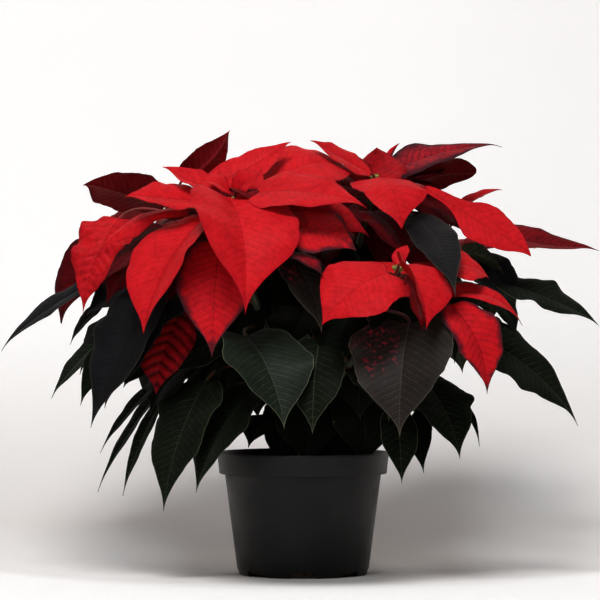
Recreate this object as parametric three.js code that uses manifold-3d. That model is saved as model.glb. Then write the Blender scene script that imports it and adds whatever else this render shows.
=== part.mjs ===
// A potted poinsettia: a nursery pot, its soil, a branched stem and its bracts and leaves.
// Millimetres, +Z up. The origin is the centre of the pot's flat underside.
import * as THREE from 'three';
import { mergeVertices } from 'three/addons/utils/BufferGeometryUtils.js';
import Module from 'manifold-3d';

const wasm = await Module();
wasm.setup();

// Driving dimensions
const seatGap = 0.3; // clearance between pieces that touch
const pot = {
  height: 108,
  baseRadius: 57.5,
  cornerRadius: 2.5,
  wallTopRadius: 69,
  bandHeight: 19,
  bandBottomRadius: 74,
  rimRadius: 76,
  wall: 1.8,
  floor: 2.4,
  sides: 40,
};
const drain = { count: 8, width: 22, depth: 14, height: 5 };
const soil = { top: 86, crown: 3, shoulder: 0.5, shoulderRise: 0.8 };
const stem = { sides: 8, stepsPerPoint: 3 };
const petiole = { radius: 1.4, steps: 5, lift: 0.5, corners: [0, 50, 90, 130, 180, 270] };
const blade = { thickness: 0.9, swell: 0.4, widest: 0.38, fullness: 1.4, tipDraw: 0.85, tipFrom: 0.55 };
const slopeStep = 0.01; // the midrib's direction is taken over this much on either side
const bladeSteps = [0.06, 0.15, 0.26, 0.38, 0.5, 0.62, 0.74, 0.85, 0.94];
const cyathia = {
  budRadius: 3.2,
  stretch: 1.3,
  buds: 4,
  ringRadius: 3.4,
  ringHeight: 7,
  ringScale: 0.85,
  turn: 0.4,
};

// The main stem, from inside the soil to where the last shoot leaves it.
const stemPath = { points: [[2, 0, 66], [0, -2, 110], [-4, 2, 150]], radii: [6.5, 5] };

// Each shoot: its path from inside the main stem to the rosette, and its radius at both ends.
const shoots = {
  a: { points: [[-3, 1, 138], [-22, -12, 190], [-48, -34, 262], [-58, -40, 326]], radii: [3.6, 2.4] },
  b: { points: [[-3, 1, 143], [14, 12, 200], [46, 28, 280], [65, 35, 348]], radii: [3.6, 2.4] },
  c: { points: [[-1, -1, 126], [22, -24, 160], [58, -66, 214], [82, -85, 266]], radii: [3.4, 2.3] },
  d: { points: [[-1, 0, 118], [-34, 32, 170], [-74, 64, 246], [-95, 75, 314]], radii: [3.4, 2.3] },
  e: { points: [[0, -1, 108], [40, 36, 156], [94, 78, 232], [120, 90, 296]], radii: [3.4, 2.3] },
};

// Each leaf: name, shoot, place along the shoot, where the blade starts, where it ends,
// width, bow, roll in degrees, fold in degrees and, if not at blade.widest, where it is widest.
const bracts = [
  ['bract_a_upper_right', 'a', 0.97, [-84, -28, 342], [-10, -10, 384], 38, -5, 42, 8],
  ['bract_a_front', 'a', 0.965, [-64, -58, 330], [-49, -125, 233], 104, 20, -6, 16, 0.3],
  ['bract_a_right', 'a', 0.95, [-42, -48, 336], [55, -80, 324], 68, 6, 28, 8, 0.3],
  ['bract_a_left', 'a', 0.935, [-86, -48, 328], [-154, -70, 333], 50, 0, -30, 12],
  ['bract_a_back_right', 'a', 0.92, [-36, -14, 337], [50, 22, 351], 76, 22, 30, 4],
  ['bract_a_front_left', 'a', 0.90, [-84, -60, 314], [-136, -112, 217], 82, 12, 0, 18, 0.48],
  ['bract_a_lower_right', 'a', 0.87, [-32, -50, 304], [46, -68, 287], 72, 10, 32, 6, 0.55],
  ['bract_a_front_low', 'a', 0.83, [-72, -60, 292], [-78, -100, 196], 68, 12, -4, 10],
  ['bract_a_left_low', 'a', 0.80, [-100, -34, 321], [-180, -54, 284], 26, 15, -50, -22],
  ['bract_a_left_far', 'a', 0.77, [-162, -6, 314], [-193, -24, 232], 52, 13, -36, 10, 0.3],
  ['bract_a_dark', 'a', 0.60, [-104, -36, 236], [-127, -66, 163], 60, 8, -10, 12, 0.5],
  ['bract_b_left', 'b', 0.975, [60, 22, 355], [6, 2, 385], 36, -1, -36, 10],
  ['bract_b_front', 'b', 0.96, [67, 12, 350], [86, -46, 306], 58, 14, 4, -4, 0.34],
  ['bract_b_right_high', 'b', 0.945, [80, 44, 358], [180, 62, 383], 52, 6, 24, 8, 0.22],
  ['bract_b_right_back', 'b', 0.925, [90, 60, 344], [158, 94, 358], 50, 6, -38, 6],
  ['bract_b_right', 'b', 0.90, [108, 18, 342], [202, 5, 284], 52, 0, 42, 8, 0.66],
  ['bract_b_back', 'b', 0.88, [58, 68, 344], [34, 148, 322], 68, 12, 0, 10],
  ['bract_c_front', 'c', 0.97, [84, -100, 272], [104, -136, 219], 70, 8, -16, 20],
  ['bract_c_left', 'c', 0.95, [72, -98, 265], [16, -126, 223], 74, 10, -36, 4, 0.44],
  ['bract_c_right_up', 'c', 0.93, [112, -72, 270], [161, -60, 262], 50, 8, 32, 6, 0.5],
  ['bract_c_right', 'c', 0.89, [118, -72, 248], [190, -62, 222], 26, 14, 34, 10],
  ['bract_c_right_low', 'c', 0.85, [126, -90, 238], [157, -104, 164], 56, 14, 30, 14],
  ['bract_d_up', 'd', 0.96, [-107, 52, 350], [-66, 60, 397], 40, -10, -58, 8, 0.3],
  ['bract_d_left', 'd', 0.93, [-124, 56, 326], [-197, 34, 347], 56, 2, 36, 10, 0.5],
  ['bract_d_left_low', 'd', 0.90, [-142, 56, 298], [-216, 38, 224], 62, 28, -40, 10],
  ['bract_d_back', 'd', 0.93, [-100, 106, 312], [-112, 190, 282], 66, 12, 0, 10],
  ['bract_e_right', 'e', 0.96, [150, 84, 314], [267, 60, 290], 44, -8, 26, 14],
  ['bract_e_back', 'e', 0.93, [124, 120, 294], [134, 200, 262], 64, 12, 0, 10],
  ['bract_e_back_right', 'e', 0.90, [156, 112, 288], [216, 158, 292], 58, 10, 10, 10],
];
const turningLeaves = [
  ['turning_leaf_a', 'a', 0.74, [-14, -46, 284], [16, -76, 216], 54, 9, 8, 10],
  ['turning_leaf_b', 'b', 0.84, [97, 2, 317], [129, -130, 249], 38, 10, 14, 2],
  ['turning_leaf_c', 'c', 0.79, [91, -88, 222], [82, -122, 129], 90, 10, 4, 10, 0.3],
];
const greenLeaves = [
  ['leaf_front_left', 'a', 0.46, [-49, -68, 211], [-16, -120, 136], 82, 11, 4, 12],
  ['leaf_front_middle', 'c', 0.50, [14, -60, 208], [8, -98, 130], 54, 9, 0, 12],
  ['leaf_front_low', 'c', 0.42, [42, -60, 182], [74, -84, 140], 58, 8, 0, 10],
  ['leaf_left_dark', 'a', 0.67, [-126, -48, 262], [-183, -76, 136], 64, 3, -24, 14],
  ['leaf_left_far', 'd', 0.80, [-180, -3, 260], [-266, -10, 200], 34, 5, -22, 10],
  ['leaf_left_low', 'a', 0.36, [-90, -26, 172], [-126, -50, 96], 42, 8, -6, 10],
  ['leaf_left_lowest', 'a', 0.26, [-84, -48, 172], [-120, -84, 64], 62, 9, -4, 10],
  ['leaf_front_left_low', 'a', 0.17, [-38, -50, 170], [-92, -86, 80], 80, 8, 0, 10],
  ['leaf_right_high', 'e', 0.82, [172, 34, 260], [263, 12, 222], 46, 3, 26, 10],
  ['leaf_right_big', 'c', 0.62, [128, -40, 222], [241, -26, 136], 56, 14, 46, 8],
  ['leaf_right_low', 'c', 0.38, [102, -44, 176], [135, -80, 108], 62, 8, 6, 10],
  ['leaf_front_right_low', 'c', 0.26, [80, -46, 148], [85, -76, 86], 34, 7, 0, 10],
  ['leaf_back_left', 'd', 0.60, [-96, 104, 232], [-150, 172, 160], 66, 10, 0, 10],
  ['leaf_back_right', 'e', 0.62, [120, 114, 222], [150, 186, 176], 66, 10, 0, 10],
  ['leaf_back', 'b', 0.46, [18, 88, 236], [14, 178, 172], 72, 12, 0, 10],
];

// Colour, roughness and metalness of each finish.
const finishes = {
  pot: material('#242424', 0.45),
  soil: material('#1b130d', 0.95),
  stem: material('#3d4a2c', 0.7),
  cyathia: material('#a8a83c', 0.5),
  bract: material('#c8262a', 0.55),
  turningLeaf: material('#5a2a2c', 0.55),
  leaf: material('#1a2a1a', 0.5),
};

function material(color, roughness) {
  return new THREE.MeshStandardMaterial({ color, roughness, metalness: 0 });
}

const radians = THREE.MathUtils.degToRad;
const vector = (point) => new THREE.Vector3(...point);

// Booleans
function toSolid(geometry) {
  const bare = geometry.clone();
  bare.deleteAttribute('normal');
  bare.deleteAttribute('uv');
  const merged = mergeVertices(bare, 1e-4);
  return new wasm.Manifold(new wasm.Mesh({
    numProp: 3,
    vertProperties: new Float32Array(merged.attributes.position.array),
    triVerts: new Uint32Array(merged.index.array),
  }));
}

function toGeometry(solid) {
  const { vertProperties, triVerts } = solid.getMesh();
  const geometry = new THREE.BufferGeometry();
  geometry.setAttribute('position', new THREE.BufferAttribute(vertProperties, 3));
  geometry.setIndex(new THREE.BufferAttribute(triVerts, 1));
  geometry.computeVertexNormals();
  return geometry;
}

// A closed body through a row of rings that all hold the same number of points.
function loft(rings) {
  const count = rings[0].length;
  const corners = rings.flat();
  const faces = [];
  for (let ring = 0; ring < rings.length - 1; ring += 1) {
    for (let i = 0; i < count; i += 1) {
      const a = ring * count + i;
      const b = ring * count + ((i + 1) % count);
      faces.push(a, b, b + count, a, b + count, a + count);
    }
  }
  const last = (rings.length - 1) * count;
  for (let i = 1; i < count - 1; i += 1) {
    faces.push(0, i + 1, i, last, last + i, last + i + 1);
  }
  const geometry = new THREE.BufferGeometry().setFromPoints(corners);
  geometry.setIndex(faces);
  return geometry;
}

// A round stem along a smooth curve, tapering from its first radius to its last.
function stemGeometry({ points, radii }, extra = 0) {
  const curve = new THREE.CatmullRomCurve3(points.map(vector));
  const steps = points.length * stem.stepsPerPoint;
  const rings = [];
  for (let step = 0; step <= steps; step += 1) {
    const t = step / steps;
    const along = curve.getTangent(t);
    const side = new THREE.Vector3(0, 1, 0).cross(along).normalize();
    const up = along.clone().cross(side);
    const radius = THREE.MathUtils.lerp(radii[0], radii[1], t) + extra;
    const centre = curve.getPoint(t);
    if (step === steps) centre.addScaledVector(along, extra);
    rings.push(Array.from({ length: stem.sides }, (_, i) => {
      const angle = (i / stem.sides) * 2 * Math.PI;
      return centre.clone().addScaledVector(side, radius * Math.cos(angle))
        .addScaledVector(up, radius * Math.sin(angle));
    }));
  }
  return loft(rings);
}

// Half of the blade's width at t, from its base to its drip tip, as a share of the widest half.
function bladeOutline(t, widest) {
  const rise = blade.fullness * widest;
  const fall = blade.fullness * (1 - widest);
  const body = (t / widest) ** rise * ((1 - t) / (1 - widest)) ** fall;
  const nearTip = Math.max(0, (t - blade.tipFrom) / (1 - blade.tipFrom));
  return body * (1 - blade.tipDraw * nearTip ** 2);
}

// One leaf: a petiole that swings out from its shoot's axis, then a bowed and folded blade.
function leafGeometry([, shoot, startAt, baseAt, tipAt, width, bow, roll, fold, widest = blade.widest]) {
  const base = vector(baseAt);
  const chord = vector(tipAt).sub(base);
  const length = chord.length();
  chord.normalize();
  const level = new THREE.Vector3(chord.x, chord.y, 0).normalize();
  const side = new THREE.Vector3(0, 0, 1).cross(level).applyAxisAngle(chord, radians(roll));
  const up = chord.clone().cross(side);
  const midrib = (t) => base.clone().addScaledVector(chord, length * t)
    .addScaledVector(up, bow * 4 * t * (1 - t));

  const axis = new THREE.CatmullRomCurve3(shoots[shoot].points.map(vector));
  const root = axis.getPoint(startAt);
  const reach = base.distanceTo(root);
  const leave = base.clone().sub(root).normalize()
    .addScaledVector(axis.getTangent(startAt), petiole.lift).setLength(reach / 3);
  const arrive = midrib(slopeStep).sub(base).setLength(reach / 3);
  const controls = [root, root.clone().add(leave), base.clone().sub(arrive), base];
  const stalk = new THREE.CubicBezierCurve3(...controls);

  const ring = (centre, along, halfWidth, thickness, round) => {
    const across = side.clone().addScaledVector(along, -side.dot(along)).normalize();
    const above = along.clone().cross(across);
    const corner = (x, z) => centre.clone().addScaledVector(across, x).addScaledVector(above, z);
    if (round) {
      return petiole.corners.map((angle) => corner(
        halfWidth * Math.cos(radians(angle)),
        halfWidth * Math.sin(radians(angle)),
      ));
    }
    const flat = halfWidth * Math.cos(radians(fold));
    const raise = halfWidth * Math.sin(radians(fold));
    const swell = thickness * blade.swell;
    return [
      corner(flat, raise),
      corner(flat / 2, raise / 2 + swell),
      corner(0, thickness / 2),
      corner(-flat / 2, raise / 2 + swell),
      corner(-flat, raise),
      corner(0, -thickness / 2),
    ];
  };

  const rings = [];
  for (let step = 0; step <= petiole.steps; step += 1) {
    const t = step / petiole.steps;
    rings.push(ring(stalk.getPoint(t), stalk.getTangent(t), petiole.radius, 0, true));
  }
  for (const t of bladeSteps) {
    const along = midrib(t + slopeStep).sub(midrib(t - slopeStep)).normalize();
    const halfWidth = Math.max((width / 2) * bladeOutline(t, widest), blade.thickness);
    rings.push(ring(midrib(t), along, halfWidth, blade.thickness, false));
  }
  const tipAlong = midrib(1).sub(midrib(1 - slopeStep)).normalize();
  rings.push(ring(midrib(1), tipAlong, blade.thickness / 2, blade.thickness / 2, false));
  return loft(rings);
}

// Outer radius of the pot's tapered wall at a height.
function wallRadius(height) {
  return THREE.MathUtils.mapLinear(height, 0, pot.height - pot.bandHeight, pot.baseRadius, pot.wallTopRadius);
}

// The pot: a tapered wall, a deep band below the rim and slots through the bottom corner.
function potGeometry() {
  const bandBottom = pot.height - pot.bandHeight;
  const profile = [
    [0, 0],
    [pot.baseRadius - pot.cornerRadius, 0],
    [pot.baseRadius, pot.cornerRadius],
    [pot.wallTopRadius, bandBottom],
    [pot.bandBottomRadius, bandBottom],
    [pot.rimRadius, pot.height],
    [pot.rimRadius - pot.wall, pot.height],
    [pot.bandBottomRadius - pot.wall, bandBottom + pot.wall],
    [pot.wallTopRadius - pot.wall, bandBottom + pot.wall],
    [pot.wallTopRadius - pot.wall, bandBottom],
    [wallRadius(pot.floor) - pot.wall, pot.floor],
    [0, pot.floor],
  ];
  let solid = toSolid(turn(profile));
  for (let i = 0; i < drain.count; i += 1) {
    const slot = new THREE.BoxGeometry(drain.depth, drain.width, drain.height * 2);
    slot.translate(pot.baseRadius, 0, 0);
    slot.rotateZ(-Math.PI / 2 + (i / drain.count) * 2 * Math.PI);
    solid = solid.subtract(toSolid(slot));
  }
  return toGeometry(solid);
}

// A profile of [radius, height] pairs turned round the Z axis.
function turn(profile) {
  const outline = profile.map(([radius, height]) => new THREE.Vector2(radius, height));
  return new THREE.LatheGeometry(outline, pot.sides).rotateX(Math.PI / 2);
}

// The soil fills the pot up to a low crown, with a pocket where the main stem stands.
function soilGeometry(stemPocket) {
  const inner = (height) => wallRadius(height) - pot.wall - seatGap;
  const bottom = pot.floor + seatGap;
  const ball = turn([
    [0, bottom],
    [inner(bottom), bottom],
    [inner(soil.top), soil.top],
    [inner(soil.top) * soil.shoulder, soil.top + soil.crown * soil.shoulderRise],
    [0, soil.top + soil.crown],
  ]);
  return toGeometry(toSolid(ball).subtract(stemPocket));
}

// The cyathia: a few small round buds that sit together on the tip of a shoot.
function cyathiaGeometry({ points }) {
  const tip = vector(points.at(-1));
  const bud = (x, y, z, radius) => {
    const shape = new THREE.SphereGeometry(radius, 7, 4).scale(1, 1, cyathia.stretch);
    return toSolid(shape.translate(tip.x + x, tip.y + y, tip.z + z));
  };
  let solid = bud(0, 0, cyathia.budRadius * cyathia.stretch + seatGap, cyathia.budRadius);
  for (let i = 0; i < cyathia.buds; i += 1) {
    const angle = (i / cyathia.buds) * 2 * Math.PI + cyathia.turn;
    const x = cyathia.ringRadius * Math.cos(angle);
    const y = cyathia.ringRadius * Math.sin(angle);
    solid = solid.add(bud(x, y, cyathia.ringHeight, cyathia.budRadius * cyathia.ringScale));
  }
  return toGeometry(solid);
}

// Assembly
const poinsettia = new THREE.Group();

function place(name, geometry, finish) {
  const mesh = new THREE.Mesh(geometry, finish);
  mesh.name = name;
  poinsettia.add(mesh);
}

const stemPocket = toSolid(stemGeometry(stemPath, seatGap));
place('pot', potGeometry(), finishes.pot);
place('potting_soil', soilGeometry(stemPocket), finishes.soil);
place('main_stem', stemGeometry(stemPath), finishes.stem);

const shootPockets = {};
for (const [key, shoot] of Object.entries(shoots)) {
  const solid = toSolid(stemGeometry(shoot)).subtract(stemPocket);
  shootPockets[key] = toSolid(stemGeometry(shoot, seatGap));
  place(`shoot_${key}`, toGeometry(solid), finishes.stem);
  place(`cyathia_${key}`, cyathiaGeometry(shoot), finishes.cyathia);
}

function placeLeaves(rows, finish) {
  for (const row of rows) {
    const [name, shoot] = row;
    const solid = toSolid(leafGeometry(row)).subtract(shootPockets[shoot]);
    place(name, toGeometry(solid), finish);
  }
}

placeLeaves(bracts, finishes.bract);
placeLeaves(turningLeaves, finishes.turningLeaf);
placeLeaves(greenLeaves, finishes.leaf);

export default poinsettia;
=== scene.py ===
import math
from itertools import combinations

import bpy
import numpy as np
from mathutils import Matrix, Vector, noise


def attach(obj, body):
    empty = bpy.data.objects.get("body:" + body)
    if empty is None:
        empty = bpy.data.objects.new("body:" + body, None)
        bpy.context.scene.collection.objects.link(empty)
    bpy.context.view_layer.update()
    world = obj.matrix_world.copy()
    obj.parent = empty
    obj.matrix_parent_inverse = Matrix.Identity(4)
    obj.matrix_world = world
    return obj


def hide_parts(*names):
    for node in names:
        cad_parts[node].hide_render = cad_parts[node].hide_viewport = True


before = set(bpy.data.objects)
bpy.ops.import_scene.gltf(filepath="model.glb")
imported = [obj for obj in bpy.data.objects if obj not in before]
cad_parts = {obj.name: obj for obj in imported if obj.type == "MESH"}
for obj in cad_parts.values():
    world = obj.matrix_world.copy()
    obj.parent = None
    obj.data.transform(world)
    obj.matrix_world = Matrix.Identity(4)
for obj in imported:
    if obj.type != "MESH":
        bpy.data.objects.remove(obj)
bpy.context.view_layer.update()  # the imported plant: pot, soil, stems, cyathia and the larger leaves
mm = 0.001  # sizes and places are in millimetres, where no comment says otherwise
seeds = {"leaves": 11, "stems": 511, "cyathia": 711, "crumbs": 911}
print("frame loaded:", len(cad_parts), "solids")

# camera: level, in front of the plant
cameraSetup = {"place": (-2.65, -3000, 242), "tilt": 90, "lens": 203.7, "sensor": 36, "farthest": 60000}


def makeCamera(setup):
    data = bpy.data.cameras.new("camera")
    data.lens = setup["lens"]
    data.sensor_width = setup["sensor"]
    data.sensor_fit = "HORIZONTAL"
    data.clip_end = setup["farthest"] * mm
    camera = bpy.data.objects.new("camera", data)
    camera.location = Vector(setup["place"]) * mm
    camera.rotation_euler = (math.radians(setup["tilt"]), 0, 0)
    bpy.context.scene.collection.objects.link(camera)
    bpy.context.scene.camera = camera


makeCamera(cameraSetup)

# the plant's skeleton, as it was built: main stem, shoots and where every blade starts and ends
mainStem = {"points": [[2, 0, 66], [0, -2, 110], [-4, 2, 150]], "radii": [6.5, 5]}
shoots = {
    "a": {"points": [[-3, 1, 138], [-22, -12, 190], [-48, -34, 262], [-58, -40, 326]], "radii": [3.6, 2.4]},
    "b": {"points": [[-3, 1, 143], [14, 12, 200], [46, 28, 280], [65, 35, 348]], "radii": [3.6, 2.4]},
    "c": {"points": [[-1, -1, 126], [22, -24, 160], [58, -66, 214], [82, -85, 266]], "radii": [3.4, 2.3]},
    "d": {"points": [[-1, 0, 118], [-34, 32, 170], [-74, 64, 246], [-95, 75, 314]], "radii": [3.4, 2.3]},
    "e": {"points": [[0, -1, 108], [40, 36, 156], [94, 78, 232], [120, 90, 296]], "radii": [3.4, 2.3]},
}

# each leaf: name, shoot, place along the shoot, blade start, blade end, width, bow, roll, fold
# and, where it isn't the usual one, the place of its widest part
bracts = [
    ["bract_a_upper_right", "a", 0.97, [-84, -28, 342], [-10, -10, 384], 38, -5, 42, 8],
    ["bract_a_front", "a", 0.965, [-64, -58, 330], [-49, -125, 233], 104, 20, -6, 16, 0.3],
    ["bract_a_right", "a", 0.95, [-42, -48, 336], [55, -80, 324], 68, 6, 28, 8, 0.3],
    ["bract_a_left", "a", 0.935, [-86, -48, 328], [-154, -70, 333], 50, 0, -30, 12],
    ["bract_a_back_right", "a", 0.92, [-36, -14, 337], [50, 22, 351], 76, 22, 30, 4],
    ["bract_a_front_left", "a", 0.90, [-84, -60, 314], [-136, -112, 217], 82, 12, 0, 18, 0.48],
    ["bract_a_lower_right", "a", 0.87, [-32, -50, 304], [46, -68, 287], 72, 10, 32, 6, 0.55],
    ["bract_a_front_low", "a", 0.83, [-72, -60, 292], [-78, -100, 196], 68, 12, -4, 10],
    ["bract_a_left_low", "a", 0.80, [-100, -34, 321], [-180, -54, 284], 26, 15, -50, -22],
    ["bract_a_left_far", "a", 0.77, [-162, -6, 314], [-193, -24, 232], 52, 13, -36, 10, 0.3],
    ["bract_a_dark", "a", 0.60, [-104, -36, 236], [-127, -66, 163], 60, 8, -10, 12, 0.5],
    ["bract_b_left", "b", 0.975, [60, 22, 355], [6, 2, 385], 36, -1, -36, 10],
    ["bract_b_front", "b", 0.96, [67, 12, 350], [86, -46, 306], 58, 14, 4, -4, 0.34],
    ["bract_b_right_high", "b", 0.945, [80, 44, 358], [180, 62, 383], 52, 6, 24, 8, 0.22],
    ["bract_b_right_back", "b", 0.925, [90, 60, 344], [158, 94, 358], 50, 6, -38, 6],
    ["bract_b_right", "b", 0.90, [108, 18, 342], [202, 5, 284], 52, 0, 42, 8, 0.66],
    ["bract_b_back", "b", 0.88, [58, 68, 344], [34, 148, 322], 68, 12, 0, 10],
    ["bract_c_front", "c", 0.97, [84, -100, 272], [104, -136, 219], 70, 8, -16, 20],
    ["bract_c_left", "c", 0.95, [72, -98, 265], [16, -126, 223], 74, 10, -36, 4, 0.44],
    ["bract_c_right_up", "c", 0.93, [112, -72, 270], [161, -60, 262], 50, 8, 32, 6, 0.5],
    ["bract_c_right", "c", 0.89, [118, -72, 248], [190, -62, 222], 26, 14, 34, 10],
    ["bract_c_right_low", "c", 0.85, [126, -90, 238], [157, -104, 164], 56, 14, 30, 14],
    ["bract_d_up", "d", 0.96, [-107, 52, 350], [-66, 60, 397], 40, -10, -58, 8, 0.3],
    ["bract_d_left", "d", 0.93, [-124, 56, 326], [-197, 34, 347], 56, 2, 36, 10, 0.5],
    ["bract_d_left_low", "d", 0.90, [-142, 56, 298], [-216, 38, 224], 62, 28, -40, 10],
    ["bract_d_back", "d", 0.93, [-100, 106, 312], [-112, 190, 282], 66, 12, 0, 10],
    ["bract_e_right", "e", 0.96, [150, 84, 314], [267, 60, 290], 44, -8, 26, 14],
    ["bract_e_back", "e", 0.93, [124, 120, 294], [134, 200, 262], 64, 12, 0, 10],
    ["bract_e_back_right", "e", 0.90, [156, 112, 288], [216, 158, 292], 58, 10, 10, 10],
]
turningLeaves = [
    ["turning_leaf_a", "a", 0.74, [-14, -46, 284], [16, -76, 216], 54, 9, 8, 10],
    ["turning_leaf_b", "b", 0.84, [97, 2, 317], [129, -130, 249], 38, 10, 14, 2],
    ["turning_leaf_c", "c", 0.79, [91, -88, 222], [82, -122, 129], 90, 10, 4, 10, 0.3],
]
greenLeaves = [
    ["leaf_front_left", "a", 0.46, [-49, -68, 211], [-16, -120, 136], 82, 11, 4, 12],
    ["leaf_front_middle", "c", 0.50, [14, -60, 208], [8, -98, 130], 54, 9, 0, 12],
    ["leaf_front_low", "c", 0.42, [42, -60, 182], [74, -84, 140], 58, 8, 0, 10],
    ["leaf_left_dark", "a", 0.67, [-126, -48, 262], [-183, -76, 136], 64, 3, -24, 14],
    ["leaf_left_far", "d", 0.80, [-180, -3, 260], [-266, -10, 200], 34, 5, -22, 10],
    ["leaf_left_low", "a", 0.36, [-90, -26, 172], [-126, -50, 96], 42, 8, -6, 10],
    ["leaf_left_lowest", "a", 0.26, [-84, -48, 172], [-120, -84, 64], 62, 9, -4, 10],
    ["leaf_front_left_low", "a", 0.17, [-38, -50, 170], [-92, -86, 80], 80, 8, 0, 10],
    ["leaf_right_high", "e", 0.82, [172, 34, 260], [263, 12, 222], 46, 3, 26, 10],
    ["leaf_right_big", "c", 0.62, [128, -40, 222], [241, -26, 136], 56, 14, 46, 8],
    ["leaf_right_low", "c", 0.38, [102, -44, 176], [135, -80, 108], 62, 8, 6, 10],
    ["leaf_front_right_low", "c", 0.26, [80, -46, 148], [85, -76, 86], 34, 7, 0, 10],
    ["leaf_back_left", "d", 0.60, [-96, 104, 232], [-150, 172, 160], 66, 10, 0, 10],
    ["leaf_back_right", "e", 0.62, [120, 114, 222], [150, 186, 176], 66, 10, 0, 10],
    ["leaf_back", "b", 0.46, [18, 88, 236], [14, 178, 172], 72, 12, 0, 10],
]

# the small central bracts and those that fill in between, which have no solids of their own
innerBracts = [
    ["bract_a_upper_left", "a", 0.985, [-72, -42, 336], [-123, -36, 360], 34, -2, -30, 18],
    ["bract_a_crown_up", "a", 0.99, [-58, -30, 334], [-70, -8, 354], 28, 4, 0, 14],
    ["bract_a_crown_right", "a", 0.992, [-58, -42, 334], [-38, -50, 352], 30, 4, 60, 16],
    ["bract_a_crown_fill", "a", 0.986, [-52, -32, 338], [-36, -26, 357], 28, 2, 50, 10],
    ["bract_a_crown_left", "a", 0.99, [-64, -44, 334], [-88, -50, 346], 34, 4, -30, 14],
    ["bract_a_crown_front", "a", 0.988, [-58, -46, 336], [-44, -66, 325], 28, 6, 0, 10],
    ["bract_a_left_shade", "a", 0.84, [-78, -20, 326], [-134, -30, 313], 26, 2, -40, 6],
    ["bract_b_under", "b", 0.86, [50, 20, 332], [18, 8, 298], 52, 4, -30, 6],
    ["bract_b_left_shade", "b", 0.87, [60, 40, 338], [20, 28, 346], 34, 2, -40, 6],
    ["bract_b_shade", "b", 0.87, [80, 52, 348], [150, 36, 300], 50, 6, 30, 6],
    ["bract_a_back", "a", 0.94, [-60, 0, 330], [-70, 62, 326], 60, 12, 0, 8],
    ["bract_b_crown_front", "b", 0.99, [56, 30, 346], [66, 44, 380], 62, -3, 0, -8, 0.45],
    ["bract_b_crown_left", "b", 0.988, [60, 34, 352], [34, 28, 369], 32, -2, -50, 10],
    ["bract_b_crown_thin", "b", 0.985, [76, 52, 362], [87, 56, 384], 14, 2, 0, 24],
    ["bract_b_low", "b", 0.86, [60, 4, 320], [90, -28, 274], 60, 10, 0, 8],
    ["bract_b_low_left", "b", 0.82, [38, 2, 300], [8, -26, 258], 56, 10, 0, 8],
    ["bract_b_low_back", "b", 0.90, [72, 56, 334], [64, 44, 262], 84, 8, 0, 8],
    ["bract_b_low_right", "b", 0.84, [96, 44, 322], [112, 20, 252], 70, 8, 0, 8],
    ["bract_a_low_right", "a", 0.88, [-14, -28, 300], [26, -30, 250], 66, 8, 10, 8],
    ["bract_a_right_under", "a", 0.89, [-30, -36, 322], [58, -42, 300], 64, 8, 40, 6],
    ["bract_a_front_behind", "a", 0.92, [-74, -36, 322], [-92, -66, 262], 62, 6, -6, 6],
    ["bract_a_mottled", "a", 0.78, [-12, -84, 282], [17, -104, 263], 30, 4, 6, 8],
    ["bract_a_left_fill", "a", 0.82, [-126, -14, 308], [-172, -30, 240], 62, 8, -34, 8],
    ["bract_a_left_under", "a", 0.81, [-116, -44, 304], [-174, -58, 258], 40, 4, -20, 8],
    ["bract_a_left_behind", "a", 0.78, [-96, -20, 296], [-124, -40, 232], 58, 8, -20, 8],
    ["bract_b_back_left", "b", 0.94, [40, 52, 350], [-22, 92, 346], 58, 12, -10, 8],
    ["bract_b_back_right", "b", 0.91, [76, 66, 350], [124, 130, 352], 72, 12, 8, 8],
    ["bract_c_crown", "c", 0.99, [82, -84, 272], [90, -72, 290], 18, 2, 0, 16],
    ["bract_c_shade", "c", 0.94, [90, -94, 262], [102, -100, 214], 38, 4, 0, 6],
    ["bract_c_back", "c", 0.91, [86, -54, 264], [96, 8, 258], 54, 12, 0, 8],
    ["bract_d_crown", "d", 0.99, [-98, 78, 320], [-84, 98, 340], 30, 3, 0, 14],
    ["bract_d_crown_left", "d", 0.985, [-102, 76, 320], [-126, 90, 338], 32, 4, 0, 14],
    ["bract_d_back_left", "d", 0.96, [-122, 94, 318], [-184, 136, 296], 56, 10, 10, 10],
    ["bract_d_back_right", "d", 0.91, [-66, 100, 308], [-24, 164, 290], 60, 12, 0, 10],
    ["bract_d_right", "d", 0.89, [-60, 78, 302], [2, 84, 308], 54, 10, 14, 8],
    ["bract_e_tip", "e", 0.985, [138, 90, 322], [182, 95, 344], 24, 3, 16, 16],
    ["bract_e_crown", "e", 0.99, [120, 96, 304], [128, 120, 324], 30, 3, 0, 14],
    ["bract_e_back_left", "e", 0.95, [100, 118, 296], [66, 186, 274], 60, 12, 0, 10],
    ["bract_e_left", "e", 0.88, [92, 84, 284], [30, 88, 268], 56, 12, 0, 8],
    ["bract_e_front", "e", 0.89, [128, 56, 288], [150, 20, 262], 50, 10, 0, 10],
]
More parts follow.
